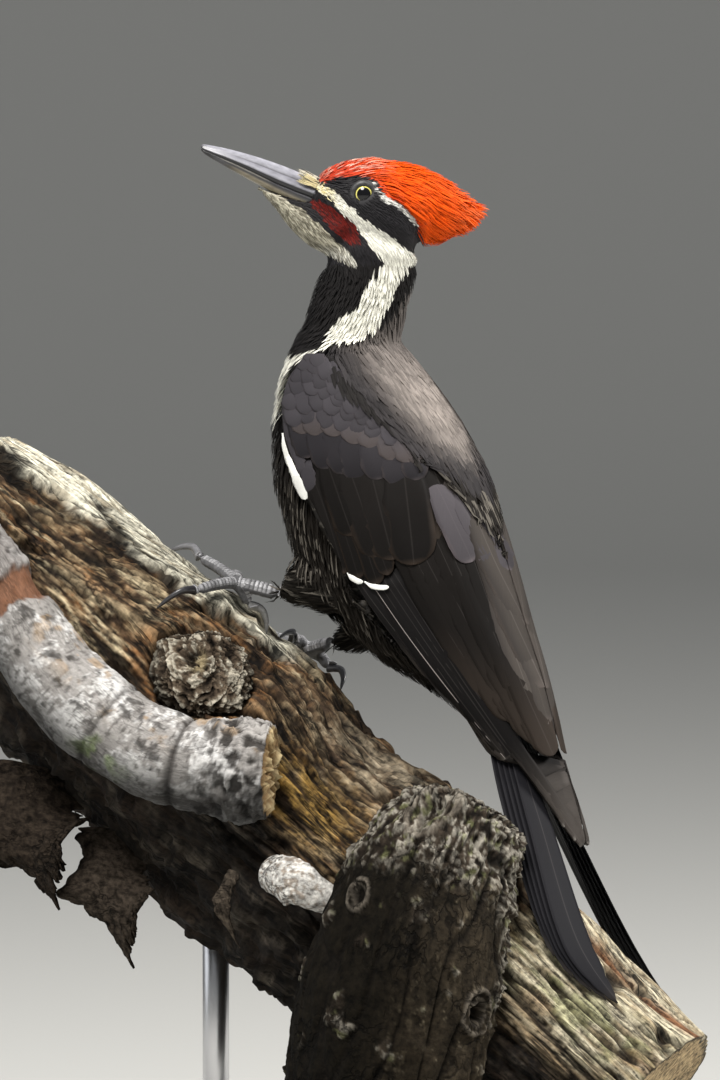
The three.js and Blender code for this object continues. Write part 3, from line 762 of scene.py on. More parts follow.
def scatter(data, inner, spacing, tries=5.0):  # even random roots on the chosen triangles
    triangles = trianglesOf(data)
    corners = pointsOf(data)[triangles][inner[triangles].all(1)]
    area = np.linalg.norm(np.cross(corners[:, 1] - corners[:, 0], corners[:, 2] - corners[:, 0]), axis=1) / 2
    step = spacing * mm
    wanted = int(area.sum() / step**2 * tries)
    picked = dice.choice(len(area), wanted, p=area / area.sum())
    mix = dice.random((wanted, 2))
    over = mix.sum(1) > 1
    mix[over] = 1 - mix[over]
    spots = corners[picked, 0] + (corners[picked, 1] - corners[picked, 0]) * mix[:, :1]
    spots = spots + (corners[picked, 2] - corners[picked, 0]) * mix[:, 1:]
    cells = np.floor(spots / step).astype(int)
    around = [(i, j, k) for i in (-1, 0, 1) for j in (-1, 0, 1) for k in (-1, 0, 1)]
    taken, kept = {}, []
    for index, (cell, (x, y, z)) in enumerate(zip(cells.tolist(), spots.tolist())):
        near = [spot for i, j, k in around for spot in taken.get((cell[0] + i, cell[1] + j, cell[2] + k), ())]
        if all((a - x) ** 2 + (b - y) ** 2 + (c - z) ** 2 >= step * step for a, b, c in near):
            taken.setdefault(tuple(cell), []).append((x, y, z))
            kept.append(index)
    return spots[kept]


def onto(tree, points):  # the nearest places on a surface, and its normals there
    hits = [tree.find_nearest(point)[:2] for point in points.tolist()]
    return np.array([hit for hit, _ in hits]), np.array([normal for _, normal in hits])


def bakePatches(piece, roots, vane):  # each feather a small patch at its root's place on the unwrapped skin
    flat = unfold(roots)
    _, onRight, _ = mirroredLeft(roots)
    middle = np.stack([(flat[:, 0] + 75) / 400 + 0.5 * onRight, (flat[:, 1] + 330) / 400], 1)
    places = np.repeat(middle, len(vane) // len(roots), 0) + (vane[:, :2] - (0, 0.5)) * (0.0015, 0.003)
    corners = readRows(piece.data.loops, "vertex_index", 1, np.int32)[:, 0]
    layer = piece.data.uv_layers.new(name="OFBake")
    layer.data.foreach_set("uv", np.clip(places[corners], 0, 1).astype(np.float32).ravel())


def softNormals(data, rows, size):  # on the outer faces of each feather, the undersides keep their own
    corners = readRows(data.loops, "vertex_index", 1, np.int32)[:, 0]
    starts = readRows(data.polygons, "loop_start", 1, np.int32)[:, 0]
    place = corners % size
    under = np.maximum.reduceat((place % 4 == 0) & (place > 0) & (place < size - 1), starts)
    counts = np.diff(np.append(starts, len(corners)))
    data.polygons.foreach_set("use_smooth", [True] * len(data.polygons))
    data.normals_split_custom_set(np.where(np.repeat(under, counts)[:, None], 0.0, rows[corners]).tolist())


# (share of the length, share of the width) down each kind of feather
profiles = {
    "lance": [(0.25, 0.9), (0.6, 1.0), (0.85, 0.55)],
    "hair": [(0.35, 1.0), (0.75, 0.8)],
    "strand": [(0.2, 0.8), (0.6, 1.0), (0.88, 0.6)],
}


def laidAlong(way, normals):
    return unit(way - normals * (way * normals).sum(1)[:, None])


def featherRows(tree, roots, spec, length, rise, luck, onThigh):  # places, normals and headings down each
    flat = unfold(roots)
    places, normals = onto(tree, roots)
    heading = laidAlong(headings(places, onThigh), normals)
    stray = (dice.random(len(roots)) - 0.5) * 2 * valueAt(spec["stray"], flat)
    heading = unit(heading + np.cross(heading, normals) * stray[:, None])
    free = valueAt(spec["free"], flat)[:, None]
    rows, last = [], 0.0
    for stop in [0.0, *(stop for stop, _ in profiles[spec["shape"]]), 1.0]:
        if stop > last:
            flown = places + heading * (length * (stop - last))[:, None]
            landed, below = onto(tree, flown)
            places = flown * free + landed * (1 - free)
            laid = unit(laidAlong(heading, below) * 0.55 + laidAlong(headings(places, onThigh), below) * 0.45)
            heading = unit(heading * free + laid * (1 - free))
            normals = unit(normals * free + below * (1 - free))
            last = stop
        lifted = spec["sink"] + (rise - spec["sink"]) * (1 - (1 - stop) ** spec["flush"])
        height = lifted * (1 + (luck - 0.5) * 0.5 * (1 - spec["even"])) * mm
        rows.append((places + normals * height[:, None], normals, heading))
    return rows


def valueAt(value, flat):  # a setting that may depend on the place
    return value(flat) if callable(value) else np.full(len(flat), float(value))


def featherFaces(count, inner):  # a closed lance: its root, rings of four, its tip
    size = 2 + 4 * inner
    ring = [(i, (i + 1) % 4) for i in range(4)]
    tris = [tri for i, j in ring for tri in ((0, 1 + j, 1 + i), (size - 1, size - 5 + i, size - 5 + j))]
    firsts = range(1, 4 * inner - 3, 4)
    quads = [(at + i, at + j, 4 + at + j, 4 + at + i) for at in firsts for i, j in ring]
    starts = np.arange(count)[:, None, None] * size
    triples, fours = (starts + np.array(tris)).reshape(-1, 3), (starts + np.array(quads)).reshape(-1, 4)
    return triples.tolist() + fours.tolist()


def coatPiece(name, tree, roots, spec):
    spec = {"droop": 0.12, "round": 0.4, "flush": 1, "even": 0, "free": 0, "recolour": None, **spec}
    count, shape, onThigh = len(roots), profiles[spec["shape"]], name == "thigh_coat"
    luck = dice.random(count)
    flat = unfold(roots)
    length = valueAt(spec["length"], flat) * mm * (0.82 + 0.36 * dice.random(count))
    width = spec["width"] * mm * (0.85 + 0.3 * dice.random(count))
    rows = featherRows(tree, roots, spec, length, valueAt(spec["rise"], flat), luck, onThigh)
    size = 2 + 4 * len(shape)
    points, soft, vane = (np.empty((count, size, 3)) for _ in range(3))  # soft: shading that follows the body
    vane[:, :, 2] = luck[:, None]
    for end, row, stop in ((0, rows[0], 0), (-1, rows[-1], 1)):
        points[:, end], soft[:, end] = row[:2]
        vane[:, end, :2] = (0, stop)
    for k, (stop, breadth) in enumerate(shape):
        middle, normals, heading = rows[k + 1]
        side = np.cross(heading, normals)
        half = (width * breadth / 2)[:, None]
        at, thick = 1 + 4 * k, spec["thick"] * mm
        points[:, at] = middle - side * half - normals * half * spec["droop"]
        points[:, at + 1] = middle + normals * thick * 0.5
        points[:, at + 2] = middle + side * half - normals * half * spec["droop"]
        points[:, at + 3] = middle - normals * thick * 0.4
        soft[:, at], soft[:, at + 1] = unit(normals - side * spec["round"]), normals
        soft[:, at + 2], soft[:, at + 3] = unit(normals + side * spec["round"]), -normals
        vane[:, at:at + 4, 0] = (-breadth, 0, breadth, 0)
        vane[:, at:at + 4, 1] = stop
    piece = meshFromRows(name, points.reshape(-1, 3), featherFaces(count, len(shape)))
    softNormals(piece.data, soft.reshape(-1, 3), size)
    broad = points[:, size - 4]
    patches = 1 + 0.12 * np.sin(broad[:, 2] * 900 + broad[:, 0] * 500)
    base = plumage(broad, luck) * ((0.8 + 0.4 * dice.random(count)) * patches)[:, None]
    toTip = vane[:, :, 1:2]
    colours = base[:, None, :] * (spec["rootShade"] + (1 - spec["rootShade"]) * toTip)
    if spec["recolour"]:
        colours = spec["recolour"](colours, broad, toTip, luck)
    vane = vane.reshape(-1, 3)
    bakePatches(piece, roots, vane)
    return dressed(piece, spec["finish"], spec["slot"], colour=colours.reshape(-1, 3), vane=vane)


# the coats

crestEdge = [(38, 6.5), (48.5, -0.5), (51.5, -5.5), (42.5, -14.5), (35.5, -21), (28, -25.5)]


def crestTips(colours, places, toTip, luck):  # the rear tips are paler
    flat = unfold(places)
    late = smoothStep(34, 56, flat[:, 0])[:, None, None]
    pale = late * toTip**3 * (luck > 0.55)[:, None, None] * 0.35
    return colours * (1 - pale) + np.array((0.9, 0.34, 0.16)) * pale


coats = {
    "face_coat": {
        "spacing": 0.72, "length": lambda flat: 3.0 + 2.2 * smoothStep(-6, -24, flat[:, 1]), "width": 0.68,
        "rise": 0.75, "flush": 1.6, "sink": -0.15, "thick": 0.12, "shape": "hair", "rootShade": 0.9,
        "stray": 0.12,
        "finish": featherMaterial("faceFeather", 0.6, 14, 0.35, gloss=0.16),
    },
    "crest_coat": {
        "spacing": 0.78,
        "length": lambda flat: np.minimum(
            5 + 5 * smoothStep(-20, 4, flat[:, 0]) + 9 * smoothStep(10, 40, flat[:, 0]),
            nearLine(crestEdge, flat) + 2.5 + 3 * smoothStep(24, 46, flat[:, 0]),
        ),
        "width": 0.7, "rise": lambda flat: 1.3 + 1.9 * smoothStep(-20, 20, flat[:, 0]), "flush": 1.6,
        "sink": -0.25, "thick": 0.16, "free": lambda flat: smoothStep(30, 40, flat[:, 0]), "shape": "lance",
        "rootShade": 0.82, "recolour": crestTips,
        "stray": lambda flat: 0.12 + 0.26 * smoothStep(24, 44, flat[:, 0]),
        "finish": featherMaterial("silkFeather", 0.55, 22, 0.28, depth=0.2, gloss=0.08),
    },
    "neck_coat": {
        "spacing": 0.9, "length": lambda flat: 6.5 + 2.5 * smoothStep(-34, -60, flat[:, 1]), "width": 1.0,
        "rise": 2.5, "flush": 1.8, "sink": -0.25, "thick": 0.16, "shape": "lance", "rootShade": 0.85,
        "stray": 0.16,
    },
    "breast_coat": {
        "spacing": 1.3, "length": lambda flat: 9 + 3 * smoothStep(-80, -120, flat[:, 1]), "width": 1.35,
        "rise": 3.6, "flush": 1.8, "sink": -0.4, "thick": 0.16, "droop": 0.08, "shape": "strand",
        "rootShade": 0.85, "stray": 0.16,
    },
    "mantle_coat": {
        "spacing": 1.2, "length": lambda flat: 17 + 4 * smoothStep(-80, -120, flat[:, 1]), "width": 1.9,
        "rise": lambda flat: 3.7 + 2.4 * smoothStep(16, 6, nearLine(mantleSeam, flat)), "sink": 0.4, "flush": 3,
        "thick": 0.10, "round": 0.25, "shape": "strand", "rootShade": 1.0, "stray": 0.04, "even": 0.9,
        "finish": featherMaterial("mantleFeather", 0.7, 34, 0.12, depth=0.1),
    },
    "thigh_coat": {
        "spacing": 1.1, "length": 9.5, "width": 0.95, "rise": 2.9, "sink": -0.3, "thick": 0.16,
        "shape": "strand", "rootShade": 0.7, "stray": 0.24,
    },
}
eyeClearing = 6.0  # mm round an eye's middle that its lids cover


def coatRegions(skin, depth):
    points = pointsOf(skin.data)
    outward = points + normalsOf(skin.data) * depth[:, None]
    flat = unfold(outward)
    up = flat[:, 1]
    kind = kindsAt(outward, fleshNodes + quillNodes)
    capped, onMantle = inside(crown, flat), inside(mantleEdge, flat)
    underWing = np.isin(kind, ("wing", "secondaries", "primaries"))
    eyeGap = np.minimum(*(np.linalg.norm(points - np.array(eye), axis=1) for eye in eyes.values()))
    regions = {
        "face_coat": ~capped & (up > -31),
        "crest_coat": capped,
        "neck_coat": ~capped & (up <= -31) & (up > -72) & ~onMantle,
        "breast_coat": (up <= -72) & ~onMantle & ~underWing & (kind != "thigh"),
        "mantle_coat": onMantle & (up <= -31),
        "thigh_coat": kind == "thigh",
    }
    return {name: region & (eyeGap > eyeClearing * mm) & (kind != "leg") for name, region in regions.items()}


def buildCoats(skin, depth, tree):
    regions = coatRegions(skin, depth)
    softFeather = featherMaterial("softFeather", 0.65, 26, 0.3)
    for name, spec in coats.items():
        roots = scatter(skin.data, regions[name], spec["spacing"])
        slot = "crest_feathers" if name == "crest_coat" else "body_feathers"
        coatPiece(name, tree, roots, {"finish": softFeather, "slot": slot, **spec})


# wing and tail feathers: thin closed vanes, joined into one piece for each set


def vaneOf(outer, inner, t, u, luck, outward):  # points, faces and vane rows from an outer and an inner grid
    rows, cols = outer.shape[:2]
    points = np.concatenate([outer.reshape(-1, 3), inner.reshape(-1, 3)])
    vane = np.stack([np.tile(u, 2 * rows), np.tile(np.repeat(t, cols), 2), np.full(len(points), luck)], 1)
    faces = sheetFaces(rows, cols)
    a, b, _, d = faces[0]
    if np.cross(points[b] - points[a], points[d] - points[a]) @ outward < 0:
        faces = [face[::-1] for face in faces]
    return points, faces, vane


def joinedVanes(name, vanes, finish, slot, *replaced):  # vanes: (points, faces, vane, colour, shaft)
    size = len(vanes[0][0])
    faces = [tuple(size * k + i for i in face) for k, entry in enumerate(vanes) for face in entry[1]]
    points, vane, colour = (np.concatenate([entry[i] for entry in vanes]) for i in (0, 2, 3))
    shaft = np.repeat([entry[4] for entry in vanes], size)[:, None]
    piece = meshFromRows(name, points, faces)
    bakePatches(piece, pointsOf(piece.data)[::size], vane)
    dressed(piece, finish, slot, *replaced, colour=colour, smooth=True, vane=vane, shaft=shaft)


# wing feathers, laid over the folded wing's form from flat (along the body, up) places in mm

wingTint = {
    "covert": (0.024, 0.022, 0.025),
    "lesser": (0.044, 0.0405, 0.0455),
    "middle": (0.059, 0.0525, 0.056),
    "long": (0.0080, 0.0069, 0.0063),
    "inner": (0.058, 0.0525, 0.058),
    "tertial": (0.050, 0.043, 0.038),
    "quill": (0.0072, 0.0061, 0.0054),
    "primary": (0.0080, 0.0073, 0.0073),
    "white": (0.78, 0.78, 0.74),
}
frontEdge = [
    (432.5, -22), (431, -24), (421, -31), (410, -34.5), (399, -34), (389.5, -31), (372, -24), (340, -8),
]
neckEdge = 431.6  # how far up the wing's feathers show
lesserRows = [
    [(-27, 401), (-20.5, 400.5), (-13.5, 400), (-6.5, 398.5), (0.5, 397), (7.5, 395), (14.5, 391.5)],
    [(-29, 407), (-23, 407), (-17, 406.5), (-10.5, 405), (-4, 402.5), (2.5, 400), (8, 397)],
    [(-30, 413), (-25, 413), (-19.5, 412.5), (-14, 411), (-8.5, 408.5), (-3, 405.5), (1.5, 403)],
    [(-29.5, 418.5), (-25, 418.5), (-20, 418), (-15, 416), (-10, 413), (-5.5, 410)],
    [(-27.5, 423.5), (-23, 423.5), (-18.5, 422.5), (-14, 420), (-10, 417)],
    [(-25, 427.5), (-21, 427.5), (-17, 426)],
]
primaryTips = [(65.5, 253.5), (83.5, 231), (90, 223), (95.5, 217), (99, 214), (101.5, 211.5)]
secondaryTips = [(62.5, 274.5), (68, 271), (73, 269), (77.5, 263), (80, 260), (82, 259), (84, 256), (86, 254.5)]
tertials = [((50, 372), (82.4, 262)), ((49, 374), (82, 284)), ((47, 375), (78, 293)), ((45, 377), (73.5, 312))]
crescents = [((-5.3, 335.8), (2.3, 331.4)), ((2.3, 332), (12.7, 329.2))]
handRows = [
    ((-27, 390), (-11, 339)), ((-25, 389), (-6.5, 335.5)), ((-20, 388), (0.5, 333)), ((-14, 387), (7.5, 331)),
    ((-9, 386), (13, 335)),
]
underRows = [((20, 394), (35, 350)), ((28, 392), (46, 350)), ((38, 388), (58, 345)), ((60, 345), (83, 268))]
broadRows = [
    ((47, 369), (66, 336)), ((39, 376), (60.5, 339.5)), ((31, 380), (50.5, 340)), ((-16, 390), (-2, 352)),
    ((-7, 389), (9.5, 343)), ((3, 388), (15, 341)), ((18, 392), (24, 340)),
]
greaterTips = [(-22, 386), (-14.5, 381.5), (-7, 379), (0.5, 377), (9, 376), (17, 374), (25, 376.5)]
middleTips = [
    (-24, 397), (-17, 396.5), (-9, 395.5), (-0.5, 392.5), (7, 390.5), (15, 387.5), (22.5, 385), (27, 384),
]
edgeTips = [(-32, 408), (-32.5, 400), (-31.5, 392.5), (-29.5, 385), (-26, 377.5), (-22, 372)]
whitePatches = [((-34.8, 397), (-30.8, 383)), ((-33.6, 391), (-27.6, 375.5)), ((-31, 384), (-24.2, 368.4))]


def wingRows():  # every wing feather, lowest first: (root, tip, half width, kind, shape)
    out = []

    def lay(kinds, halves, base, step, pairs, **shape):  # base and step: how high over the form each one lies
        for i, (root, tip) in enumerate(pairs):
            kind = kinds if isinstance(kinds, str) else kinds[i]
            half = halves if isinstance(halves, (int, float)) else halves[i]
            out.append((root, tip, half, kind, {"base": base + step * i, **shape}))

    def over(tips, back, up):  # roots a little up and forward from the tips
        return [((a - back, b + up), (a, b)) for a, b in tips]

    hand = [((3.2 + 2.8 * k, 334 + 0.8 * k), primaryTips[k]) for k in range(5, -1, -1)]
    lay("primary", 4.3, 0.05, 0.1, hand[:5], rise=-0.1, bow=-0.012, blunt=1.8, shaft=0.05)
    lay("primary", 4.3, 0.55, 0, hand[5:], rise=-0.1, bow=-0.012, blunt=1.8, shaft=0.8)
    lay("primary", 2.6, 0.5, 0, [((-5, 338), (32, 289))], rise=-0.3, blunt=2.5, shaft=0.1)
    arm = [((6 + 5.2 * i, 369 - 0.6 * i), tip) for i, tip in enumerate(secondaryTips)]
    lay("quill", 6.0, 0.15, 0.06, arm, rise=-0.1, bow=-0.018, blunt=1.5, shaft=0.03)
    for i, half in enumerate((6, 6.2, 6.2, 6.4)):
        shaft = 0.09 if i == 1 else 0.05
        lay("tertial", half, 0.55 + 0.12 * i, 0, tertials[i:i + 1], rise=-0.1, bow=-0.03, shaft=shaft)
    lay("white", (1.2, 1.1), 1.25, 0, crescents, rise=0.0, blunt=1.6, narrow=0.3, bow=-0.08, shaft=0)
    lay("long", 4.2, 0.35, 0.1, handRows, rise=0.25, bow=0.02, blunt=1.4, shaft=0.02, clipped=True)
    lay(("quill", "quill", "tertial", "tertial"), (8, 8, 8, 5.5), 0.1, 0.1, underRows, rise=0.0, shaft=0.02)
    halves = (5, 5.2, 6.4, 6.5, 8, 8.5, 10.4)
    lay(("inner",) * 3 + ("long",) * 4, halves, 0.6, 0.07, broadRows, rise=0.25, shaft=0.02)
    lay("tertial", 4.6, 1.5, 0, [((57, 368), (71.5, 341))], rise=0.3, shaft=0.02)
    small = {"rise": 0.3, "shaft": 0.0, "clipped": True}
    rooted = [((a - 7 + i * 0.5, b + 24), (a, b)) for i, (a, b) in enumerate(greaterTips)]
    lay("covert", 6.0, 0.85, 0.06, rooted, **small)
    lay("middle", 5.4, 1.0, 0.05, over(middleTips, 5.5, 18), **small)
    for k, row in enumerate(lesserRows):
        lay("lesser", 4.1 - 0.25 * k, 1.15 + 0.07 * k, 0.03, over(row, 3.5, 11.5), **small)
    lay("lesser", 3.0, 0.7, 0, over(edgeTips, 1.5, 14), **{**small, "rise": 0.2})
    thin = {"narrow": 0.2, "thick": 0.12, "camber": 0.1, "ragged": 0.1}
    lay("white", (0.95, 1.35, 1.75), 0.6, 0.08, whitePatches, rise=0.1, blunt=1.6, shaft=0, **thin)
    return out


def dropOnto(tree, flat, side):  # flat places brought down on the form's left side, or its mirror image
    spine = -0.0006
    out = []
    for a, b in flat.tolist():
        base = (toBack * a + upward * b) * mm
        hit, normal, _, _ = tree.ray_cast(base - toRight * 0.3, toRight)
        if hit is None and a < 20:
            hit, normal, _, _ = tree.find_nearest(base - toRight * 0.03)
        elif hit is None or hit.y > spine:  # past the spine, so held against it
            hit, normal, _, _ = tree.ray_cast(Vector((0.4, spine, b * mm)), Vector((-1, 0, 0)))
            if hit is None:
                hit, normal, _, _ = tree.find_nearest(Vector((a * mm, spine, b * mm)))
        out.append((hit, normal))
    return np.array(out) * (1, -1 if side == "right" else 1, 1)


def vaneSheet(tree, side, root, tip, half, spec, luck):
    spec = {"blunt": 1.0, "bow": 0.0, "narrow": 0.62, "ragged": 0.035, "camber": 0.3, "thick": 0.26, **spec}
    rows, cols = spec["rows"], 9
    root, tip = np.array(root, float), np.array(tip, float)
    length = np.linalg.norm(tip - root)
    ahead = (tip - root) / length
    across = np.array((-ahead[1], ahead[0]))
    rounding = min(0.7, spec["blunt"] * half / length)  # share of the length that the round tip takes
    curve = 1 - rounding + rounding * np.sin(np.linspace(0, np.pi / 2, 7)[1:])
    t = np.concatenate([np.linspace(0, 1 - rounding, rows - 6), curve])
    u = np.linspace(-1, 1, cols)
    middle = root + (tip - root) * t[:, None] + across * (spec["bow"] * length * np.sin(np.pi * t))[:, None]
    narrow = spec["narrow"] + (1 - spec["narrow"]) * smoothStep(0, 0.5, t)
    ended = np.sqrt(np.clip(1 - np.clip((t - 1 + rounding) / rounding, 0, 0.995) ** 2, 0, 1))
    ragged = 1 + spec["ragged"] * dice.standard_normal((rows, cols)) * (np.abs(u) > 0.9)
    flat = middle[:, None, :] + across * ((half * narrow * ended)[:, None] * u * ragged)[..., None]
    if spec.get("clipped"):  # held behind the wing's front edge and under the neck
        flat[..., 1] = np.minimum(flat[..., 1], neckEdge)
        up, along = np.array(frontEdge[::-1]).T
        flat[..., 0] = np.maximum(flat[..., 0], np.interp(flat[..., 1], up, along) + 0.3 * (1 - u))
    places, normals = dropOnto(tree, flat.reshape(-1, 2), side).reshape(rows, cols, 2, 3).transpose(2, 0, 1, 3)
    normals = unit(normals)
    for _ in range(3):
        normals[1:-1] = unit(normals[1:-1] * 2 + normals[:-2] + normals[2:])
        normals[:, 1:-1] = unit(normals[:, 1:-1] * 2 + normals[:, :-2] + normals[:, 2:])
    lift = spec["base"] + spec["rise"] * t[:, None] + spec["camber"] * (1 - u**2) + spec["tilt"] * (1 - u) / 2
    pressed = 0.9 * (1 - smoothStep(0, 0.3, t)) + 0.25 * smoothStep(0.86, 1.0, t)
    pressed = pressed - 0.06 * np.sin(t * 9 + luck * 20)
    outer = places + normals * ((lift - pressed[:, None]) * mm)[..., None]
    thick = spec["thick"] * (1 - 0.7 * np.abs(u) ** 3) * (1 - 0.6 * t[:, None])
    inner = outer - normals * (np.maximum(thick, 0.07) * mm)[..., None]
    return vaneOf(outer, inner, t, u, luck, normals[0, 0])


def feathered(kind, colour, across, onward):  # soft shading and pale rims: (tone, share) laid over each kind
    sideRim = smoothStep(0.88, 1.0, np.abs(across)) * smoothStep(0.4, 0.7, onward)
    rim = np.clip(smoothStep(0.94, 1.0, onward) + sideRim, 0, 1)
    if kind in ("covert", "middle", "lesser"):
        # painted shade: coverts darken toward the tip, inside the pale rim
        tipShade, pale = (0.16, 0.15) if kind == "lesser" else (0.32, 0.35)
        colour = colour * (1.05 - tipShade * smoothStep(0.5, 0.95, onward))[:, None]
        colour = painted(colour, ((0.085, 0.070, 0.068), rim * pale))
    if kind in ("long", "inner"):
        # painted shade: darker toward each tip
        colour = colour * (1.1 - 0.3 * smoothStep(0.3, 0.9, onward))[:, None]
    layers = {
        "middle": [((0.098, 0.078, 0.070), smoothStep(0.45, 0.9, onward) * 0.28)],
        "long": [((0.045, 0.032, 0.024), rim * 0.55)],
        "inner": [((0.13, 0.11, 0.115), rim * 0.55)],
        "primary": [
            ((0.05, 0.045, 0.045), smoothStep(0.75, 1.0, -across) * 0.6),
            ((0.060, 0.052, 0.046), smoothStep(0.6, 0.95, onward) * 0.75),
            ((0.26, 0.24, 0.22), smoothStep(0.985, 1.0, onward) * 0.5),
        ],
        "quill": [
            ((0.050, 0.038, 0.031), smoothStep(0.4, 1.0, across) * 0.6),
            ((0.05, 0.038, 0.030), smoothStep(0.5, 1.0, onward) * 0.5),
        ],
        "tertial": [
            ((0.022, 0.019, 0.018), smoothStep(-0.1, -0.9, across) * 0.7),
            ((0.105, 0.088, 0.080), rim * 0.5),
        ],
    }
    return painted(colour, *layers.get(kind, []))


def buildWings(tree):
    finish = featherMaterial("quillFinish", 0.6, 130, 0.11, depth=0.1, gloss=0.07, shafted=True)
    for side in sides:
        for name, quills in (("wing_quills", True), ("wing_covert_feathers", False)):
            vanes = []
            for root, tip, half, kind, shape in wingRows():
                if (kind in ("quill", "primary", "tertial")) != quills:
                    continue
                luck = dice.random()
                small = kind in ("lesser", "middle", "covert")
                spec = {"rows": 24 if quills else 16, "tilt": 0.4, **shape}
                tip = np.array(tip) + dice.standard_normal(2) * (0.8 if small else 0.4)
                if small:
                    spec.update(camber=0.16, tilt=0.25, ragged=0.06, rise=spec["rise"] * (0.5 + luck))
                    half = half * (0.92 + 0.2 * dice.random())
                points, faces, vane = vaneSheet(tree, side, root, tip, half, spec, luck)
                base = toned(np.array(wingTint[kind]) * (0.85 + 0.3 * luck), len(points))
                colour = feathered(kind, base, vane[:, 0], vane[:, 1])
                vanes.append((points, faces, vane, colour, shape["shaft"]))
            replaced = [f"secondaries_{side}", f"primaries_{side}"] if quills else []
            joinedVanes(f"{name}_{side}", vanes, finish, "wing_feathers", *replaced)


# log surface: along it from its middle in mm, and round it from its crest

logShape = {
    "radius": 61.0, "end": 195.0, "saw": -168.0, "middle": (-20.0, -15.0, 211.0),
    "slope": math.radians(39), "yaw": math.radians(6), "knotAlong": -75.0, "knotTurn": -0.84,
    "rise": 5.0, "riseAt": -42.0, "dip": 6.0, "dipAt": 5.0,
}
level = math.cos(logShape["slope"])
downhill = np.array((
    math.cos(logShape["yaw"]) * level, math.sin(logShape["yaw"]) * level, -math.sin(logShape["slope"]),
))
acrossLog = np.array((-math.sin(logShape["yaw"]), math.cos(logShape["yaw"]), 0.0))
offLog = -np.cross(acrossLog, downhill)


def offAt(turn):  # straight out of the log
    return np.cos(turn)[..., None] * offLog + np.sin(turn)[..., None] * acrossLog


def onLog(along, turn, height=0.0):  # metres
    along, turn = np.asarray(along, float), np.asarray(turn, float)
    waves = 1.8 * np.sin(along / 31 + 2 * turn) + 1.4 * np.sin(along / 17 - 3 * turn + 1)
    rise = logShape["rise"] * bump(along, logShape["riseAt"], 20)
    rise = rise - logShape["dip"] * bump(along, logShape["dipAt"], 28)
    ends = 9 * np.maximum(0, (-along - 90) / 100) + 5 * np.maximum(0, (along - 110) / 80)
    out = logShape["radius"] + waves + (0.5 + 0.5 * np.cos(turn)) * rise - ends + height
    return (np.array(logShape["middle"]) + along[..., None] * downhill + out[..., None] * offAt(turn)) * mm


# tail: stiff pointed feathers from the rump down to the log

tailShape = {
    "reach": (1, 0.93, 0.85, 0.76, 0.66),  # length of each pair against the middle one
    "step": 1.25, "spread": 3.2, "rootSpread": 1.6, "root": (72, 4, 279), "tipAlong": 162, "tipOut": 31,
    "halves": (3, 7.4, 8.8, 1.6), "bendBack": 32, "bendHeight": 9.5,
}


def tailBlade(index, sign):
    spec = tailShape
    rows, cols = 34, 11
    axis = logShape["middle"][1] + downhill[1] * spec["tipAlong"]
    turn = math.asin((sign * spec["tipOut"] - axis) / logShape["radius"])
    root = np.array((spec["root"][0], sign * spec["root"][1], spec["root"][2])) * mm
    bend = onLog(spec["tipAlong"] - spec["bendBack"], turn * 0.97, spec["bendHeight"])
    spine = np.array([root, (root + bend) / 2, bend, onLog(spec["tipAlong"], turn, 0.9)])
    outward = np.cos(turn) * acrossLog - np.sin(turn) * offLog
    off = offAt(np.float64(turn))
    t = np.linspace(0, 1, rows)
    apart = index * (spec["rootSpread"] + (spec["spread"] - spec["rootSpread"]) * t)
    middle = cubicAt(spine, t * spec["reach"][index]) - off * (index * spec["step"] * mm)
    middle = middle + outward * (sign * apart * mm)[:, None]
    halves = curveAt(np.array(spec["halves"]) - np.array((0, 0, index * 0.6, 0)), t)
    halves = halves * (1 - 0.86 * smoothStep(0.93, 1.0, t))
    top = unit(np.cross(unit(np.gradient(middle, axis=0)), outward))
    top = top * np.sign(top @ off)[:, None]
    u = np.linspace(-1, 1, cols)
    fray = 1 + 0.07 * dice.standard_normal((rows, cols)) * (np.abs(u) > 0.9) * smoothStep(0.55, 1, t)[:, None]
    sheet = middle[:, None, :] + outward * (halves[:, None] * u * fray * mm)[..., None]
    roof = 0.5 * (1 - np.abs(u)) ** 1.2 - 0.35 * np.abs(u) ** 2
    outer = sheet + top[:, None] * (roof * mm)[None, :, None]
    rib = 0.55 * (1 - np.abs(u)) ** 6
    inner = outer - top[:, None] * ((0.16 + rib) * mm)[None, :, None]
    return vaneOf(outer, inner, t, u, dice.random(), top[0])


def buildTail():
    finish = featherMaterial("tailFinish", 0.58, 150, 0.12, depth=0.12, gloss=0.07, shafted=True)
    for side, sign in sides.items():
        vanes = []
        for index in range(5):
            points, faces, vane = tailBlade(index, sign)
            colour = painted(
                toned(np.array((0.0100, 0.0098, 0.0118)) * (0.85 + 0.3 * vane[0, 2]), len(points)),
                ((0.018, 0.0175, 0.021), smoothStep(0.75, 1, np.abs(vane[:, 0])) * 0.5),
                ((0.045, 0.038, 0.033), smoothStep(0.85, 1, vane[:, 1]) * 0.5),
            )
            vanes.append((points, faces, vane, colour, 0.04))
        replaced = [f"tail_{side}_{number}" for number in range(1, 6)]
        joinedVanes(f"tail_feathers_{side}", vanes, finish, "tail_feathers", *replaced)


# feet: plates over the toes and shanks, and claws

feet = {
    "left": {"along": -98, "turn": -0.1, "height": 10.5},
    "right": {"along": -68, "turn": 0.75, "height": 9},
}
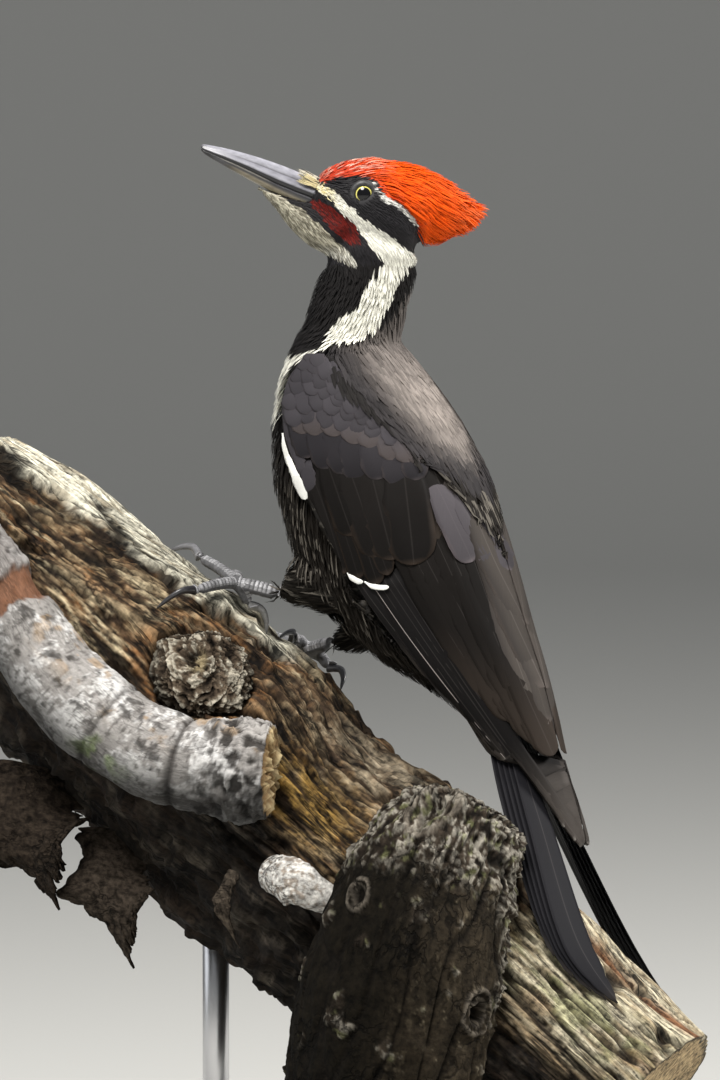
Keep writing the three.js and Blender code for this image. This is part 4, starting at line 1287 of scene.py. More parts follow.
# each toe's heading from straight uphill, length, claw's length, height of its end, and arch
toes = {
    "left": {
        "inner": (-1.2, 21, 17, 6, 0.6), "middle": (0.45, 27, 17, 7, 0.4),
        "outer": (1.05, 18, 11, 7, 2), "hind": (2.75, 11, 14, 5, 1),
    },
    "right": {
        "inner": (-1.35, 15, 11, 5, 3), "middle": (0.1, 26, 16, 4, 3),
        "outer": (1.2, 20, 13, 4, 3), "hind": (-2.68, 19, 14, 5, 3),
    },
}
clawTones = {
    "left": {
        "inner": (0.035, 0.034, 0.038), "middle": (0.16, 0.16, 0.17), "outer": (0.09, 0.09, 0.1),
        "hind": (0.2, 0.2, 0.2),
    },
    "right": {
        "inner": (0.03, 0.03, 0.034), "middle": (0.04, 0.04, 0.045), "outer": (0.03, 0.03, 0.034),
        "hind": (0.05, 0.05, 0.055),
    },
}
clawShape = {
    # share of the claw's length, share of the toe end's height that is kept, and mm over that
    "curve": [(0.16, 1, 1.7), (0.42, 1, 2.4), (0.72, 0.6, 2.0), (0.92, 0, 1.5), (1, 0, 0.1)],
    "radii": (2.2, 2.1, 1.75, 1.25, 0.65, 0.16), "flat": 0.72, "around": 14, "rings": 22,
}
shankTops = {"left": (-30, -18, 323.5), "right": (-24, 20, 300)}


def footPoint(foot, heading, reach, height):
    turn = foot["turn"] + reach * math.sin(heading) / logShape["radius"]
    return onLog(foot["along"] - reach * math.cos(heading), turn, height)


def buildClaws():
    finish = hornMaterial("clawFinish", 0.3, 900, 0.2, 0.0001, coat=0.25)
    around, rings = clawShape["around"], clawShape["rings"]
    t = np.linspace(0, 1, rings)
    angle = np.linspace(0, math.tau, around, endpoint=False)[None, :, None]
    size = curveAt(clawShape["radii"], t)[:, None, None] * mm
    for side, foot in feet.items():
        for toe, (heading, length, claw, end, _) in toes[side].items():
            marks = [footPoint(foot, heading, length - 0.6, end + 0.1)]
            for share, kept, over in clawShape["curve"]:
                marks.append(footPoint(foot, heading, length + claw * share, end * kept + over))
            middle = cubicAt(marks, t)
            ahead = unit(np.gradient(middle, axis=0))
            across = unit(np.cross(ahead, offAt(foot["turn"])))
            top = np.cross(across, ahead)
            ring = across[:, None] * np.cos(angle) * clawShape["flat"] + top[:, None] * np.sin(angle)
            points = (middle[:, None] + ring * size).reshape(-1, 3)
            darker = smoothStep(0.5, 1, np.repeat(t, around)) * 0.6
            colour = painted(toned(clawTones[side][toe], len(points)), ((0.02, 0.02, 0.022), darker))
            faces = ringFaces(rings, around, capped=True)
            piece = tidied(meshFromRows(f"claw_{toe}_{side}_horn", points, faces))
            dressed(piece, finish, "claws", f"claw_{toe}_{side}", colour=colour)


def plateRow(tree, middle, lifted, step, width):  # (points, colour) of each plate over a toe or shank
    plates = []
    total = np.linalg.norm(np.diff(middle, axis=0), axis=1).sum()
    count = int(total / (step * mm))
    for k in range(count):
        t0, t1 = (k + 0.04) / count, (k + 1.02) / count
        shade = 0.19 + 0.20 * dice.random()
        rows = []
        for outer in (1.0, 0.0):
            for at, rise in ((t0, 0.05), ((t0 + t1) / 2, 0.42), (t1, 0.30)):
                centre = cubicAt(middle, at)
                ahead = unit(cubicAt(middle, min(at + 0.02, 1)) - cubicAt(middle, max(at - 0.02, 0)))
                side = unit(np.cross(ahead, lifted))
                top = np.cross(side, ahead)
                for angle in np.linspace(-width, width, 7):
                    way = top * math.cos(angle) + side * math.sin(angle)
                    hit, _, _, reach = tree.ray_cast(Vector(centre), Vector(way))
                    reach = 2.6 * mm if hit is None else min(reach, 4.5 * mm)
                    edge = 1 - (abs(angle) / width) ** 4
                    height = (rise * outer * edge - 0.35 * (1 - outer) + 0.06 * outer) * mm
                    rows.append(centre + way * (reach + height))
        across = np.tile(np.repeat((0.28, 1.0, 0.9), 7), 2)
        plates.append((rows, across[:, None] * np.array((shade, shade, shade * 1.04))))
    return plates


def buildScutes(tree):
    finish = hornMaterial("scuteFinish", 0.5, 1300, 0.3, 0.00012)
    for side, foot in feet.items():
        plates = []
        for heading, length, _, end, arch in toes[side].values():
            arched = [foot["height"] + (end - foot["height"]) * t + arch for t in (0.33, 0.7)]
            marks = zip([1.5, length * 0.36, length * 0.7, length], [foot["height"], *arched, end])
            middle = np.array([footPoint(foot, heading, reach, height) for reach, height in marks])
            plates += plateRow(tree, middle, offAt(foot["turn"]), 1.7, 1.25)
        ankle = np.array(shankTops[side]) * mm
        sole = onLog(foot["along"], foot["turn"], foot["height"])
        middle = np.array([ankle + (sole - ankle) * t for t in (0.04, 0.35, 0.65, 0.95)])
        above = unit(np.cross(np.cross(sole - ankle, (0, 0, 1.0)), sole - ankle))
        plates += plateRow(tree, middle, -above if above[2] < 0 else above, 1.9, 1.9)
        points, colour = (np.concatenate([plate[i] for plate in plates]) for i in (0, 1))
        sheet, size = sheetFaces(3, 7), len(plates[0][0])
        faces = [tuple(size * k + i for i in face) for k in range(len(plates)) for face in sheet]
        piece = tidied(meshFromRows(f"scutes_{side}", points, faces), smooth=False)
        dressed(piece, finish, "leg_scales", colour=colour)


# bill: rings down its two horny halves

billBack = [-17, -22, -26, -30, -34, -38, -44, -50, -56, -62, -68, -71.5, -73]
billLines = {  # mm up from the eye at those places
    "culmen": [4.6, 6.3, 8.0, 9.9, 11.6, 13.1, 15.2, 17.1, 18.8, 20.3, 21.5, 22.0, 21.6],
    "gape": [-3.8, -2.0, -0.5, 1.0, 2.6, 4.2, 7.0, 9.9, 12.7, 15.3, 17.8, 19.4, 20.5],
    "keel": [-12.4, -9.6, -7.4, -5.2, -3.0, -0.8, 2.4, 5.5, 8.8, 12.0, 15.6, 17.9, 19.6],
    "half": [7.0, 6.9, 6.7, 6.4, 6.1, 5.7, 5.2, 4.6, 3.9, 3.15, 2.2, 1.5, 0.75],
}
# (out, up) round each half from its top middle, as shares of its width and height
upperSection = [
    (0, 1), (0.14, 0.985), (0.27, 0.93), (0.42, 0.83), (0.54, 0.735), (0.62, 0.665), (0.66, 0.60), (0.74, 0.53),
    (0.84, 0.42), (0.93, 0.32), (0.99, 0.235), (1.0, 0.19), (0.965, 0.13), (0.93, 0.06), (0.90, 0.0),
    (0.80, -0.02), (0.5, 0.03), (0.2, 0.05),
]
lowerSection = [
    (0.2, -0.05), (0.5, -0.04), (0.80, 0.0), (0.90, -0.01), (0.95, -0.08), (0.955, -0.18), (0.93, -0.32),
    (0.86, -0.5),
    (0.75, -0.67), (0.58, -0.82), (0.36, -0.93), (0.16, -0.985), (0, -1),
]


def billHalf(name, section, finish):
    rings = 56
    t = np.linspace(0, 1, rings)
    back = curveAt(billBack, t)[:, None]
    line = {key: curveAt(values, t)[:, None] for key, values in billLines.items()}
    closed = section + [(-out, up) for out, up in reversed(section) if abs(out) > 1e-6]
    out, up = np.broadcast_to(np.array(closed).T[:, None], (2, rings, len(closed)))
    if name == "bill_upper":
        groove = 0.25 * bump(np.abs(out), 0.655, 0.06) * smoothStep(-66, -52, back)
        height = line["gape"] + 0.12 + up * (line["culmen"] - line["gape"]) - groove * 0.4
        out = out * (1 - groove * 0.22)
    else:
        height = line["gape"] - 0.12 + up * (line["gape"] - line["keel"])
    points = onHead(back, height, out * line["half"]).reshape(-1, 3)
    out, up, along = np.abs(out).ravel(), up.ravel(), np.repeat(t, len(closed))
    back = np.repeat(back, len(closed))
    if name == "bill_upper":
        seam = bump(out, 0.655, 0.045) * (up > 0.3) * smoothStep(-63, -50, back)
        colour = painted(
            toned((0.205, 0.205, 0.235), len(points)),
            # painted highlight: the top of the upper half lighter, along the culmen
            ((0.34, 0.34, 0.38), smoothStep(0.6, 1.0, up) * 0.6),
            ((0.010, 0.010, 0.012), smoothStep(0.27, 0.20, up)),
            ((0.02, 0.02, 0.025), np.clip(seam * 1.2, 0, 1)),
            ((0.02, 0.02, 0.024), smoothStep(-69.5, -73, back) * (up < 0.9)),
        )
    else:
        # rim: a painted highlight, a thin pale line along the lower half's upper edge by the gape
        rim = bump(up, -0.06, 0.05) * (out > 0.85) * smoothStep(-66, -62, back) * smoothStep(-40, -46, back)
        colour = painted(
            toned((0.030, 0.030, 0.034), len(points)),
            ((0.27, 0.235, 0.165), smoothStep(0.26, 0.55, -up) * smoothStep(-64, -52, back) * 0.85),
            ((0.20, 0.20, 0.215), smoothStep(-60, -66, back) * smoothStep(0.1, 0.4, -up) * 0.35),
            ((0.012, 0.012, 0.013), smoothStep(-62, -70, back)),
            # the painted highlight along that edge
            ((0.36, 0.34, 0.28), rim * 0.5),
        )
    piece = tidied(meshFromRows(name, points, ringFaces(rings, len(closed), capped=True)))
    dressed(piece, finish, name, name, colour=colour, vane=np.stack([out, along, up], 1))


tufts = {
    "count": 130, "length": 8.5, "width": 0.34,
    "rings": [(0, 1), (0.35, 1), (0.75, 0.9)],  # share of the length, and of the width there
    "tones": {"dark": (0.10, 0.09, 0.075), "buff": (0.60, 0.52, 0.30), "pale": (0.62, 0.58, 0.47)},
}


def nasalTufts(finish):  # bristles over the nostrils
    points, vane, colour, size = [], [], [], 4 * len(tufts["rings"]) + 1
    for sign in sides.values():
        outwards = np.array(toRight) * sign
        for _ in range(tufts["count"]):
            luck, level = dice.random(), dice.random()
            start = onHead(-21.5 + 0.6 * dice.standard_normal(), 2.6 + 5.0 * level, sign * (6.6 - 2.4 * level))
            way = np.array(toBack) * -0.90 + np.array(upward) * (0.36 + 0.12 * (level - 0.5))
            way = unit(way - outwards * (0.05 + 0.08 * level) + 0.07 * dice.standard_normal(3))
            length = tufts["length"] * mm * (0.55 + 0.5 * dice.random())
            side = unit(np.cross(way, np.array(toRight)))
            for t, share in tufts["rings"]:
                middle = start + way * length * t + outwards * mm * (0.45 * math.sin(t * 2.6) + 0.2 * luck)
                half = tufts["width"] * mm / 2 * share
                points += [middle - side * half, middle + outwards * half * 0.8]
                points += [middle + side * half, middle - outwards * half * 0.4]
                vane += [(u, t, luck) for u in (-1, 0, 1, 0)]
            points.append(start + way * length + outwards * mm * 0.1)
            vane.append((0, 1, luck))
            tone = "dark" if luck <= 0.35 else "pale" if level > 0.72 else "buff"
            colour += [tufts["tones"][tone]] * size
    strand = [(0, 1, 2, 3), *ringFaces(3, 4), *((12, 8 + (i + 1) % 4, 8 + i) for i in range(4))]
    faces = [tuple(k + i for i in face) for k in range(0, len(points), size) for face in strand]
    points, vane = np.array(points), np.array(vane, float)
    piece = tidied(meshFromRows("nasal_tufts", points, faces), smooth=False)
    bakePatches(piece, points[::size], vane)
    dressed(piece, finish, "body_feathers", colour=colour, vane=vane)


# eyes and their lids

eyeShape = {
    "radius": 5.7,
    "pupil": 3.08,
    "iris": 3.68,
    # lid: mm from the eye's axis, and out from its middle
    "lid": [
        (3.72, 4.1), (3.8, 4.5), (3.95, 4.75), (4.2, 4.74), (4.45, 4.9), (4.75, 4.78), (5.05, 4.86),
        (5.35, 4.62), (5.7, 4.55), (6.1, 4.2), (6.5, 3.7), (6.6, 3.0),
    ],
}


def eyeMaterial():
    sockets = {"Roughness": 0.07, "Specular_IOR_Level": 0.3, "Coat_Weight": 0.3, "Coat_Roughness": 0.02}
    material, shader = principled("eyeFinish", **sockets)
    add, _ = nodeMaker(material.node_tree)
    ramp = add("ValToRGB", {"Fac": add("Attribute", attribute_name="fromAxis").outputs["Fac"]})
    pupil, iris, dark = eyeShape["pupil"], eyeShape["iris"], (0.003, 0.003, 0.004)
    bands = [
        (0.0, dark), (pupil - 0.06, dark),
        (pupil + 0.05, (0.55, 0.50, 0.12)), (pupil + 0.28, (0.80, 0.74, 0.22)),
        (iris - 0.14, (0.62, 0.57, 0.15)), (iris + 0.02, (0.012, 0.012, 0.012)),
    ]
    while len(ramp.color_ramp.elements) < len(bands):
        ramp.color_ramp.elements.new(0.5)
    for element, (stop, colour) in zip(ramp.color_ramp.elements, bands):
        element.position = stop / 6
        element.color = (*colour, 1)
    material.node_tree.links.new(ramp.outputs["Color"], shader.inputs["Base Color"])
    return material


def buildEyes():
    finish = eyeMaterial()
    lidFinish = hornMaterial("lidFinish", 0.5, 1400, 0.35, 0.0001)
    for name, sign in sides.items():
        axis = toRight * sign
        turn = upward.rotation_difference(axis).to_matrix()
        bm = bmesh.new()
        bmesh.ops.create_uvsphere(bm, u_segments=64, v_segments=64, radius=eyeShape["radius"] * mm)
        reach = [[math.hypot(v.co.x, v.co.y) / mm / 6 if v.co.z > 0 else 1.0] for v in bm.verts]
        bmesh.ops.rotate(bm, verts=bm.verts, matrix=turn)
        bmesh.ops.translate(bm, verts=bm.verts, vec=eyes[name])
        ball = meshObject(f"eye_{name}_ball", bm)
        dressed(ball, finish, "eyes", f"eye_{name}", smooth=True, fromAxis=reach)
        bm = bmesh.new()
        profile = [bm.verts.new((r * mm, 0, out * mm)) for r, out in eyeShape["lid"]]
        edges = [bm.edges.new(pair) for pair in zip(profile, profile[1:])]
        spun = {"cent": (0, 0, 0), "axis": upward, "angle": math.tau, "steps": 56, "use_merge": True}
        bmesh.ops.spin(bm, geom=profile + edges, **spun)
        bmesh.ops.remove_doubles(bm, verts=bm.verts, dist=1e-7)
        tones = []
        for v in bm.verts:
            r, around = math.hypot(v.co.x, v.co.y) / mm, math.atan2(v.co.y, v.co.x)
            v.co.z += 0.05 * mm * math.sin(around * 23 + r * 3) * float(smoothStep(4, 5, r))
            folds = 0.5 + 0.5 * math.sin(r * 11 + 1.2 * math.sin(around * 3))
            tone = 0.016 + 0.05 * folds * float(smoothStep(4.1, 5.0, r)) * (0.6 + 0.4 * math.sin(around * 9))
            tones.append((tone, tone, tone * 1.04))
        back = bmesh.ops.duplicate(bm, geom=bm.verts[:] + bm.edges[:] + bm.faces[:])["geom"]
        bmesh.ops.rotate(bm, verts=bm.verts, matrix=turn)
        bmesh.ops.translate(bm, verts=bm.verts, vec=eyes[name])
        inner = [g for g in back if isinstance(g, bmesh.types.BMVert)]
        bmesh.ops.translate(bm, verts=inner, vec=axis * -0.4 * mm)
        bmesh.ops.bridge_loops(bm, edges=[e for e in bm.edges if e.is_boundary])
        bmesh.ops.recalc_face_normals(bm, faces=bm.faces)
        dressed(meshObject(f"eye_{name}_lid", bm), lidFinish, "eyes", colour=tones + tones, smooth=True)


# the log's torn and weathered surface

woods = {
    "ivory": (0.60, 0.575, 0.465), "ivoryShade": (0.20, 0.160, 0.100), "crack": (0.012, 0.008, 0.005),
    "brown": (0.115, 0.072, 0.038), "darkBrown": (0.022, 0.0135, 0.0085), "orange": (0.215, 0.092, 0.028),
    "tan": (0.250, 0.185, 0.108), "cream": (0.46, 0.39, 0.255), "golden": (0.27, 0.165, 0.040),
    "greyTan": (0.150, 0.122, 0.085), "paleTan": (0.30, 0.255, 0.185), "bark": (0.030, 0.023, 0.017),
    "barkLight": (0.120, 0.105, 0.085), "green": (0.150, 0.160, 0.070), "paleWood": (0.44, 0.395, 0.285),
    "redBrown": (0.145, 0.068, 0.032), "sawn": (0.36, 0.27, 0.150), "sawnDark": (0.17, 0.10, 0.050),
    "shade": (0.0090, 0.0072, 0.0055), "flake": (0.060, 0.050, 0.038),
}


def stained(wood, count, *layers):  # colours by the names of the woods: (name, share) laid over the first
    return painted(toned(woods[wood], count), *((woods[name], share) for name, share in layers))


def contactPoints():  # where the claws, toes and tail touch
    spots = []
    for side, foot in feet.items():
        for heading, length, claw, _, _ in toes[side].values():
            spots.append(footPoint(foot, heading, length + claw, 0.5))
            spots.append(footPoint(foot, heading, length * 0.8, 1.0))
    for side in sides:
        for number in (1, 2, 3):
            points = pointsOf(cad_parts[f"tail_{side}_{number}"].data)
            spots.append(points[points[:, 2].argmin()])
    return np.array(spots)


def swirled(along, turn):  # the grain parts round the knot
    arc = (turn - logShape["knotTurn"]) * logShape["radius"]
    near = bump(along, logShape["knotAlong"], 34) * np.exp(-np.abs(arc) / 26)
    return turn - 15 * near * np.tanh(arc / 9) / logShape["radius"]


def roundRows(along, turn, radius):  # (x, y, z) rows for noise and grain round a limb
    return np.stack([along, np.cos(turn) * radius, np.sin(turn) * radius], 1)


def logField(along, turn):  # height over the smooth log in mm, and colour
    count = len(along)
    _, c, s = roundRows(along, swirled(along, turn), logShape["radius"]).T
    sway = 5 * ripple(np.stack([along / 55, c / 40, s / 40], 1), 3)

    def grain(lengthwise, across, seed=0, octaves=2, kind=layered):
        return kind(np.stack([along / lengthwise, (c + sway) / across, (s + sway) / across], 1), octaves, seed)

    n1, n2 = grain(34, 15, 5), grain(20, 9, 9)
    strand, fine = grain(24, 2.6, 11, 3), grain(9, 1.5, 15, 2)
    stepNoise = grain(36, 8.5, 21, 2)
    levels = stepNoise * 2.6 + 0.3 * n2
    # painted shade on the risers between the torn steps
    riserShade = bump(levels - np.floor(levels), 0.42, 0.13)
    crackFine = grain(40, 4.2, 33, 1, ridged)
    cracks = smoothStep(0.80, 0.97, grain(75, 8.5, 31, 1, ridged))
    tinyCracks = smoothStep(0.86, 0.99, crackFine)
    # zones: pale wood up the log, pale wood at its lower end, the underside in painted shade, and what is torn
    # between
    edge = -0.31 + 0.17 * smoothStep(-120, -70, along)
    ragged = 0.09 * n2 + 0.05 * strand
    ivory = smoothStep(edge - 0.02, edge + 0.02, turn + ragged) * (1 - smoothStep(1.25, 1.55, turn + 0.1 * n1))
    ivory = ivory * (1 - smoothStep(-70, -44, along + 14 * n1))
    right = smoothStep(98, 116, along + 14 * n1 - 10 * smoothStep(-0.6, 0.2, turn))
    right = right * smoothStep(-1.5, -1.3, turn + 0.15 * n1) * (1 - smoothStep(1.25, 1.5, turn + 0.1 * n2))
    under = np.maximum(1 - smoothStep(-1.52, -1.22, turn + 0.14 * n1), smoothStep(1.35, 1.6, turn + 0.12 * n1))
    knotGap = np.hypot(along - logShape["knotAlong"], (turn - logShape["knotTurn"]) * logShape["radius"])
    collar = bump(knotGap + 3 * n2, 29, 6)
    jag = bump(along, 74, 30) * (1 - right) * (1 - under)
    gold = bump(along, -2, 26) * bump(turn, -1.0, 0.30)
    creamPatch = bump(along, -112, 26) * bump(turn, -0.66, 0.16) * 0.8
    creamPatch = np.maximum(creamPatch, bump(along, -130, 30) * bump(turn, -1.08, 0.2))
    grey = bump(along, 14, 42) * bump(turn, -0.25, 0.5)
    torn = (1 - ivory) * (1 - right)
    slot = bump(turn, -0.10 + 0.0012 * (along - 140), 0.075) * smoothStep(118, 128, along) * right
    # height
    height = 1.5 * n1 + 0.6 * strand * (0.35 + 0.65 * torn) + 0.3 * fine * torn
    height += torn * (1.7 * terraced(levels, 0.2) - 1.0)
    height -= 4.6 * cracks * (0.35 * ivory + 0.9 * right + 0.6 * torn) + 1.3 * tinyCracks
    height += 3.0 * smoothStep(edge - 0.03, edge + 0.02, turn + ragged) * (along < -50) * ivory
    height -= 2.4 * torn * bump(turn, edge - 0.10, 0.10) * (along < -60)
    height += 3.4 * collar + 1.2 * bump(knotGap, 40, 7) - 3.0 * bump(knotGap, 21, 3)
    height += jag * (3.2 * np.abs(n2) + 2.4 * terraced(grain(14, 7, 41) * 2, 0.2) - 1.0)
    height += under * (1.6 * terraced(grain(16, 10, 51) * 2.2, 0.25) + 1.3 * np.abs(n2) - 1.0)
    height -= 5.0 * slot * smoothStep(190, 160, along)
    # colour
    tone = np.clip(0.5 + 0.75 * strand + 0.45 * fine, 0, 1)
    streak = smoothStep(0.22, 0.5, grain(38, 3.8, 61, 2)) * smoothStep(-0.2, 0.3, n1 + 0.4)
    golden = np.clip(gold * 1.25, 0, 1) * smoothStep(-0.5, 0.1, n2 + 0.25 + 0.4 * fine)
    mossy = smoothStep(0.0, 0.4, n2 + 0.3 * fine + 0.15) * bump(turn, -0.8, 0.32)
    ivoryTone = stained(
        "ivory", count,
        ("ivoryShade", smoothStep(-0.18, -0.6, strand + 0.5 * n2) * 0.7),
        ("brown", smoothStep(0.90, 1.0, crackFine) * 0.75),
        ("tan", smoothStep(0.25, 0.55, n1) * 0.45),
    )
    rightTone = stained(
        "paleWood", count,
        ("ivoryShade", smoothStep(0.15, -0.3, strand + 0.3 * n2) * 0.9),
        ("green", mossy * 0.7),
        ("redBrown", smoothStep(0.1, 0.5, n1 - 0.1) * 0.45 * smoothStep(-1.3, -0.9, turn)),
        ("redBrown", np.clip(slot * 1.3, 0, 1)),
        # painted shade: darker toward the underside
        ("brown", smoothStep(-1.0, -1.3, turn) * 0.7),
        ("darkBrown", riserShade * 0.35),
    )
    # the underside: near-black painted shade with a few paler flakes
    underShadeTone = stained(
        "shade", count,
        ("flake", smoothStep(0.1, 0.6, n2 + 0.6 * fine) * 0.7),
        ("darkBrown", smoothStep(0.1, 0.5, n1) * 0.5),
    )
    colour = stained(
        "brown", count,
        ("orange", smoothStep(0.10, 0.5, n2 + 0.35 * n1 + 0.35 * fine) * 0.6),
        ("tan", smoothStep(0.52, 0.8, tone) * 0.8),
        ("cream", streak * 0.75 * (0.35 + 0.65 * smoothStep(-20, -60, along))),
        ("cream", creamPatch * smoothStep(-0.2, 0.2, stepNoise + 0.4 * fine) * 0.85),
        ("greyTan", grey * 0.75),
        ("paleTan", grey * smoothStep(0.5, 0.85, tone) * 0.85),
        ("golden", golden * 0.85),
        ("bark", jag * 0.8),
        ("barkLight", jag * smoothStep(0.6, 0.9, tone) * 0.6),
        ("darkBrown", smoothStep(0.46, 0.2, tone) * 0.9),
        ("darkBrown", riserShade * 0.6 * (1 - 0.5 * creamPatch)),
        # painted shade in the groove round the knot's foot, with the knot's brown crust
        ("darkBrown", smoothStep(28, 21, knotGap + 3 * n2) * 0.9),
        ("orange", collar * smoothStep(-0.2, 0.3, strand) * 0.5),
    )
    # painted shade in the groove below the pale strip's edge
    recessShade = bump(turn + ragged, edge - 0.07, 0.055) * (along < -60)
    return height, painted(
        colour, (ivoryTone, ivory), (rightTone, right), (underShadeTone, under),
        (woods["crack"], np.clip(cracks + tinyCracks * 0.6, 0, 1) * 0.95),
        (woods["crack"], recessShade * 0.8),
    )


def unevenTurns(count):  # closer together on the side with the most relief
    fine = np.linspace(-math.pi, math.pi, 2001)
    density = np.where((fine > -1.75) & (fine < 0.45), 1.75, 0.75)
    total = np.concatenate([[0], np.cumsum(density[:-1])])
    return np.interp(np.linspace(0, total[-1], count, endpoint=False), total, fine)


def closedLimb(rows, grain, colour, shares, disc, heart):  # points and faces, with discs at both ends
    rings, around = rows.shape[:2]
    parts = [(rows.reshape(-1, 3), grain, colour)]
    faces = ringFaces(rings, around)
    total = rings * around
    for end in (0, rings - 1):
        centre = rows[end].mean(0)
        last = end * around
        for share in shares:
            level, tone = disc(end, centre + (rows[end] - centre) * share, share)
            parts.append((level, level, tone))
            for j in range(around):
                k = (j + 1) % around
                faces.append((last + j, last + k, total + k, total + j))
            last, total = total, total + around
        parts.append((centre[None], centre[None], toned(heart, 1)))
        faces += [(last + j, last + (j + 1) % around, total) for j in range(around)]
        total += 1
    points, grain, colour = (np.concatenate([part[i] for part in parts]) for i in range(3))
    return points, faces, grain * mm, colour


def sawnDisc(end, level, share):  # with its year rings, and bark at the rim
    wood = toned(woods["sawn"], len(level)) * (0.92 + 0.12 * dice.random((len(level), 1)))
    if share > 0.95:
        return level, toned(woods["bark"], len(level))
    dark = 0.6 * (share < 0.2) + 0.25 * (share in (0.86, 0.6, 0.3))
    return level, painted(wood, (woods["sawnDark"], np.full(len(level), dark)))


def buildLog():
    rows, cols = 430, 204
    turns = unevenTurns(cols)
    first = np.full(cols, -200.0)
    for _ in range(12):  # where the surface meets the plumb saw cut
        first = first + (logShape["saw"] - onLog(first, turns)[:, 0] / mm) / downhill[0]
    share = np.linspace(0, 1, rows)[:, None]
    along = (first * (1 - share) + logShape["end"] * share).ravel()
    turn = np.tile(turns, rows)
    height, colour = logField(along, turn)
    clear = np.linalg.norm(onLog(along, turn)[:, None] - contactPoints(), axis=2).min(1) / mm
    calm = smoothStep(2.5, 11, clear)
    height = height * np.where(height > 0, 0.05 + 0.95 * calm, 0.25 + 0.75 * calm)
    height = np.clip(height, -7, 4.5) * (0.4 + 0.6 * smoothStep(0, 0.01, np.repeat(share, cols)))
    surface = onLog(along, turn, height).reshape(rows, cols, 3) / mm
    surface[0, :, 0] = logShape["saw"]
    grain = roundRows(along, swirled(along, turn), logShape["radius"])
    shares = (0.985, 0.94, 0.86, 0.74, 0.6, 0.45, 0.3, 0.15)
    points, faces, grain, colour = closedLimb(surface, grain, colour, shares, sawnDisc, woods["sawnDark"])
    piece = tidied(meshFromRows("log_wood", points * mm, faces))
    finish = woodMaterial("weatheredWood", fibre=1.15, checks=0.85)
    dressed(piece, finish, "weathered_wood", "perch_log", colour=colour, grain=grain)


# limb, stub and knot

# middle (x, y, z) in mm, then the sizes above, below and beside it
stubTable = [
    (70, -34, 226, 26, 26, 28), (66, -58, 204, 35, 36, 37), (61, -76, 170, 42, 42, 43),
    (54, -82, 133, 44, 44, 43), (48, -83, 98, 43, 43, 42), (43, -82, 62, 42, 42, 41),
]
limbTable = [
    (-196, -82, 374, 16, 16, 16), (-169, -84, 357, 16, 16, 16), (-147, -86, 339, 16, 16, 16),
    (-129, -88, 317, 17.5, 17.5, 17), (-111, -90, 293, 19.5, 19.5, 19), (-91, -90, 275, 20.5, 20.5, 20),
    (-70, -89, 261, 20.5, 20.5, 20), (-46, -86, 252, 20, 20, 20), (-22, -80, 250, 19.5, 20, 19),
    (0, -74, 249, 18, 19, 18),
]
# what sets each branch apart; tips: mm its end discs are torn out
branches = {
    "limb_bark": {
        "table": limbTable, "span": (0.09, 0.955), "rings": 230, "around": 128, "tips": (0, 4), "dome": 0,
        "replaced": "perch_limb",
    },
    "stub_bark": {
        "table": stubTable, "span": (0.0, 0.90), "rings": 230, "around": 290, "tips": (0, 8), "dome": 16,
        "replaced": "perch_stub",
    },
}


def buildBranch(name, field, material):
    spec = branches[name]
    rings, around = spec["rings"], spec["around"]
    path = cubicAt(spec["table"], np.linspace(*spec["span"], rings))
    middle, sizes = path[:, :3], path[:, 3:]
    ahead = unit(np.gradient(middle, axis=0))
    up = unit(np.cross(ahead, np.array((0, 1.0, 0))))
    side = unit(np.cross(up, ahead))
    angle = np.linspace(-math.pi, math.pi, around, endpoint=False)
    high = np.where(np.cos(angle)[None] > 0, sizes[:, :1], sizes[:, 1:2])
    broad = sizes[:, 2:]
    along = np.concatenate([[0], np.cumsum(np.linalg.norm(np.diff(middle, axis=0), axis=1))])
    if spec["dome"]:  # a rounded start
        broad = broad * np.sqrt(1 - (1 - np.clip(along / spec["dome"], 0.02, 1)) ** 2)[:, None]
    allAlong, allTurn = np.repeat(along, around), np.tile(angle, rings)
    height, colour = field(allAlong, allTurn, along[-1])
    height = height.reshape(rings, around)
    rows = middle[:, None] + up[:, None] * (np.cos(angle)[None] * (high + height))[..., None]
    rows = rows + side[:, None] * (np.sin(angle)[None] * (broad + height))[..., None]

    def tornDisc(end, level, share):
        rough = ripple(level / 3.2, 71) + 0.7 * ripple(level / 1.5, 73)
        push = spec["tips"][end > 0] * (rough + 0.2) * (1 - share**6)
        tone = painted(
            toned((0.20, 0.125, 0.055), len(level)),
            ((0.50, 0.40, 0.22), smoothStep(0.1, 0.8, rough)),
            ((0.06, 0.035, 0.02), smoothStep(0.0, -0.8, rough)),
        )
        return level + ahead[end] * (1 if end else -1) * push[:, None], tone

    shares = (0.93, 0.82, 0.68, 0.52, 0.35, 0.17)
    grain = roundRows(allAlong, allTurn, 22)
    points, faces, grain, colour = closedLimb(rows, grain, colour, shares, tornDisc, (0.12, 0.07, 0.035))
    points[:, 0] = np.maximum(points[:, 0], logShape["saw"])
    piece = tidied(meshFromRows(name, points * mm, faces))
    dressed(piece, material, "birch_bark", spec["replaced"], colour=colour, grain=grain)


def rounded(along, turn, size, seed, lengthwise=1.0, octaves=3, radius=22.0, kind=layered):
    return kind(roundRows(along * lengthwise, turn, radius) / size, octaves, seed)


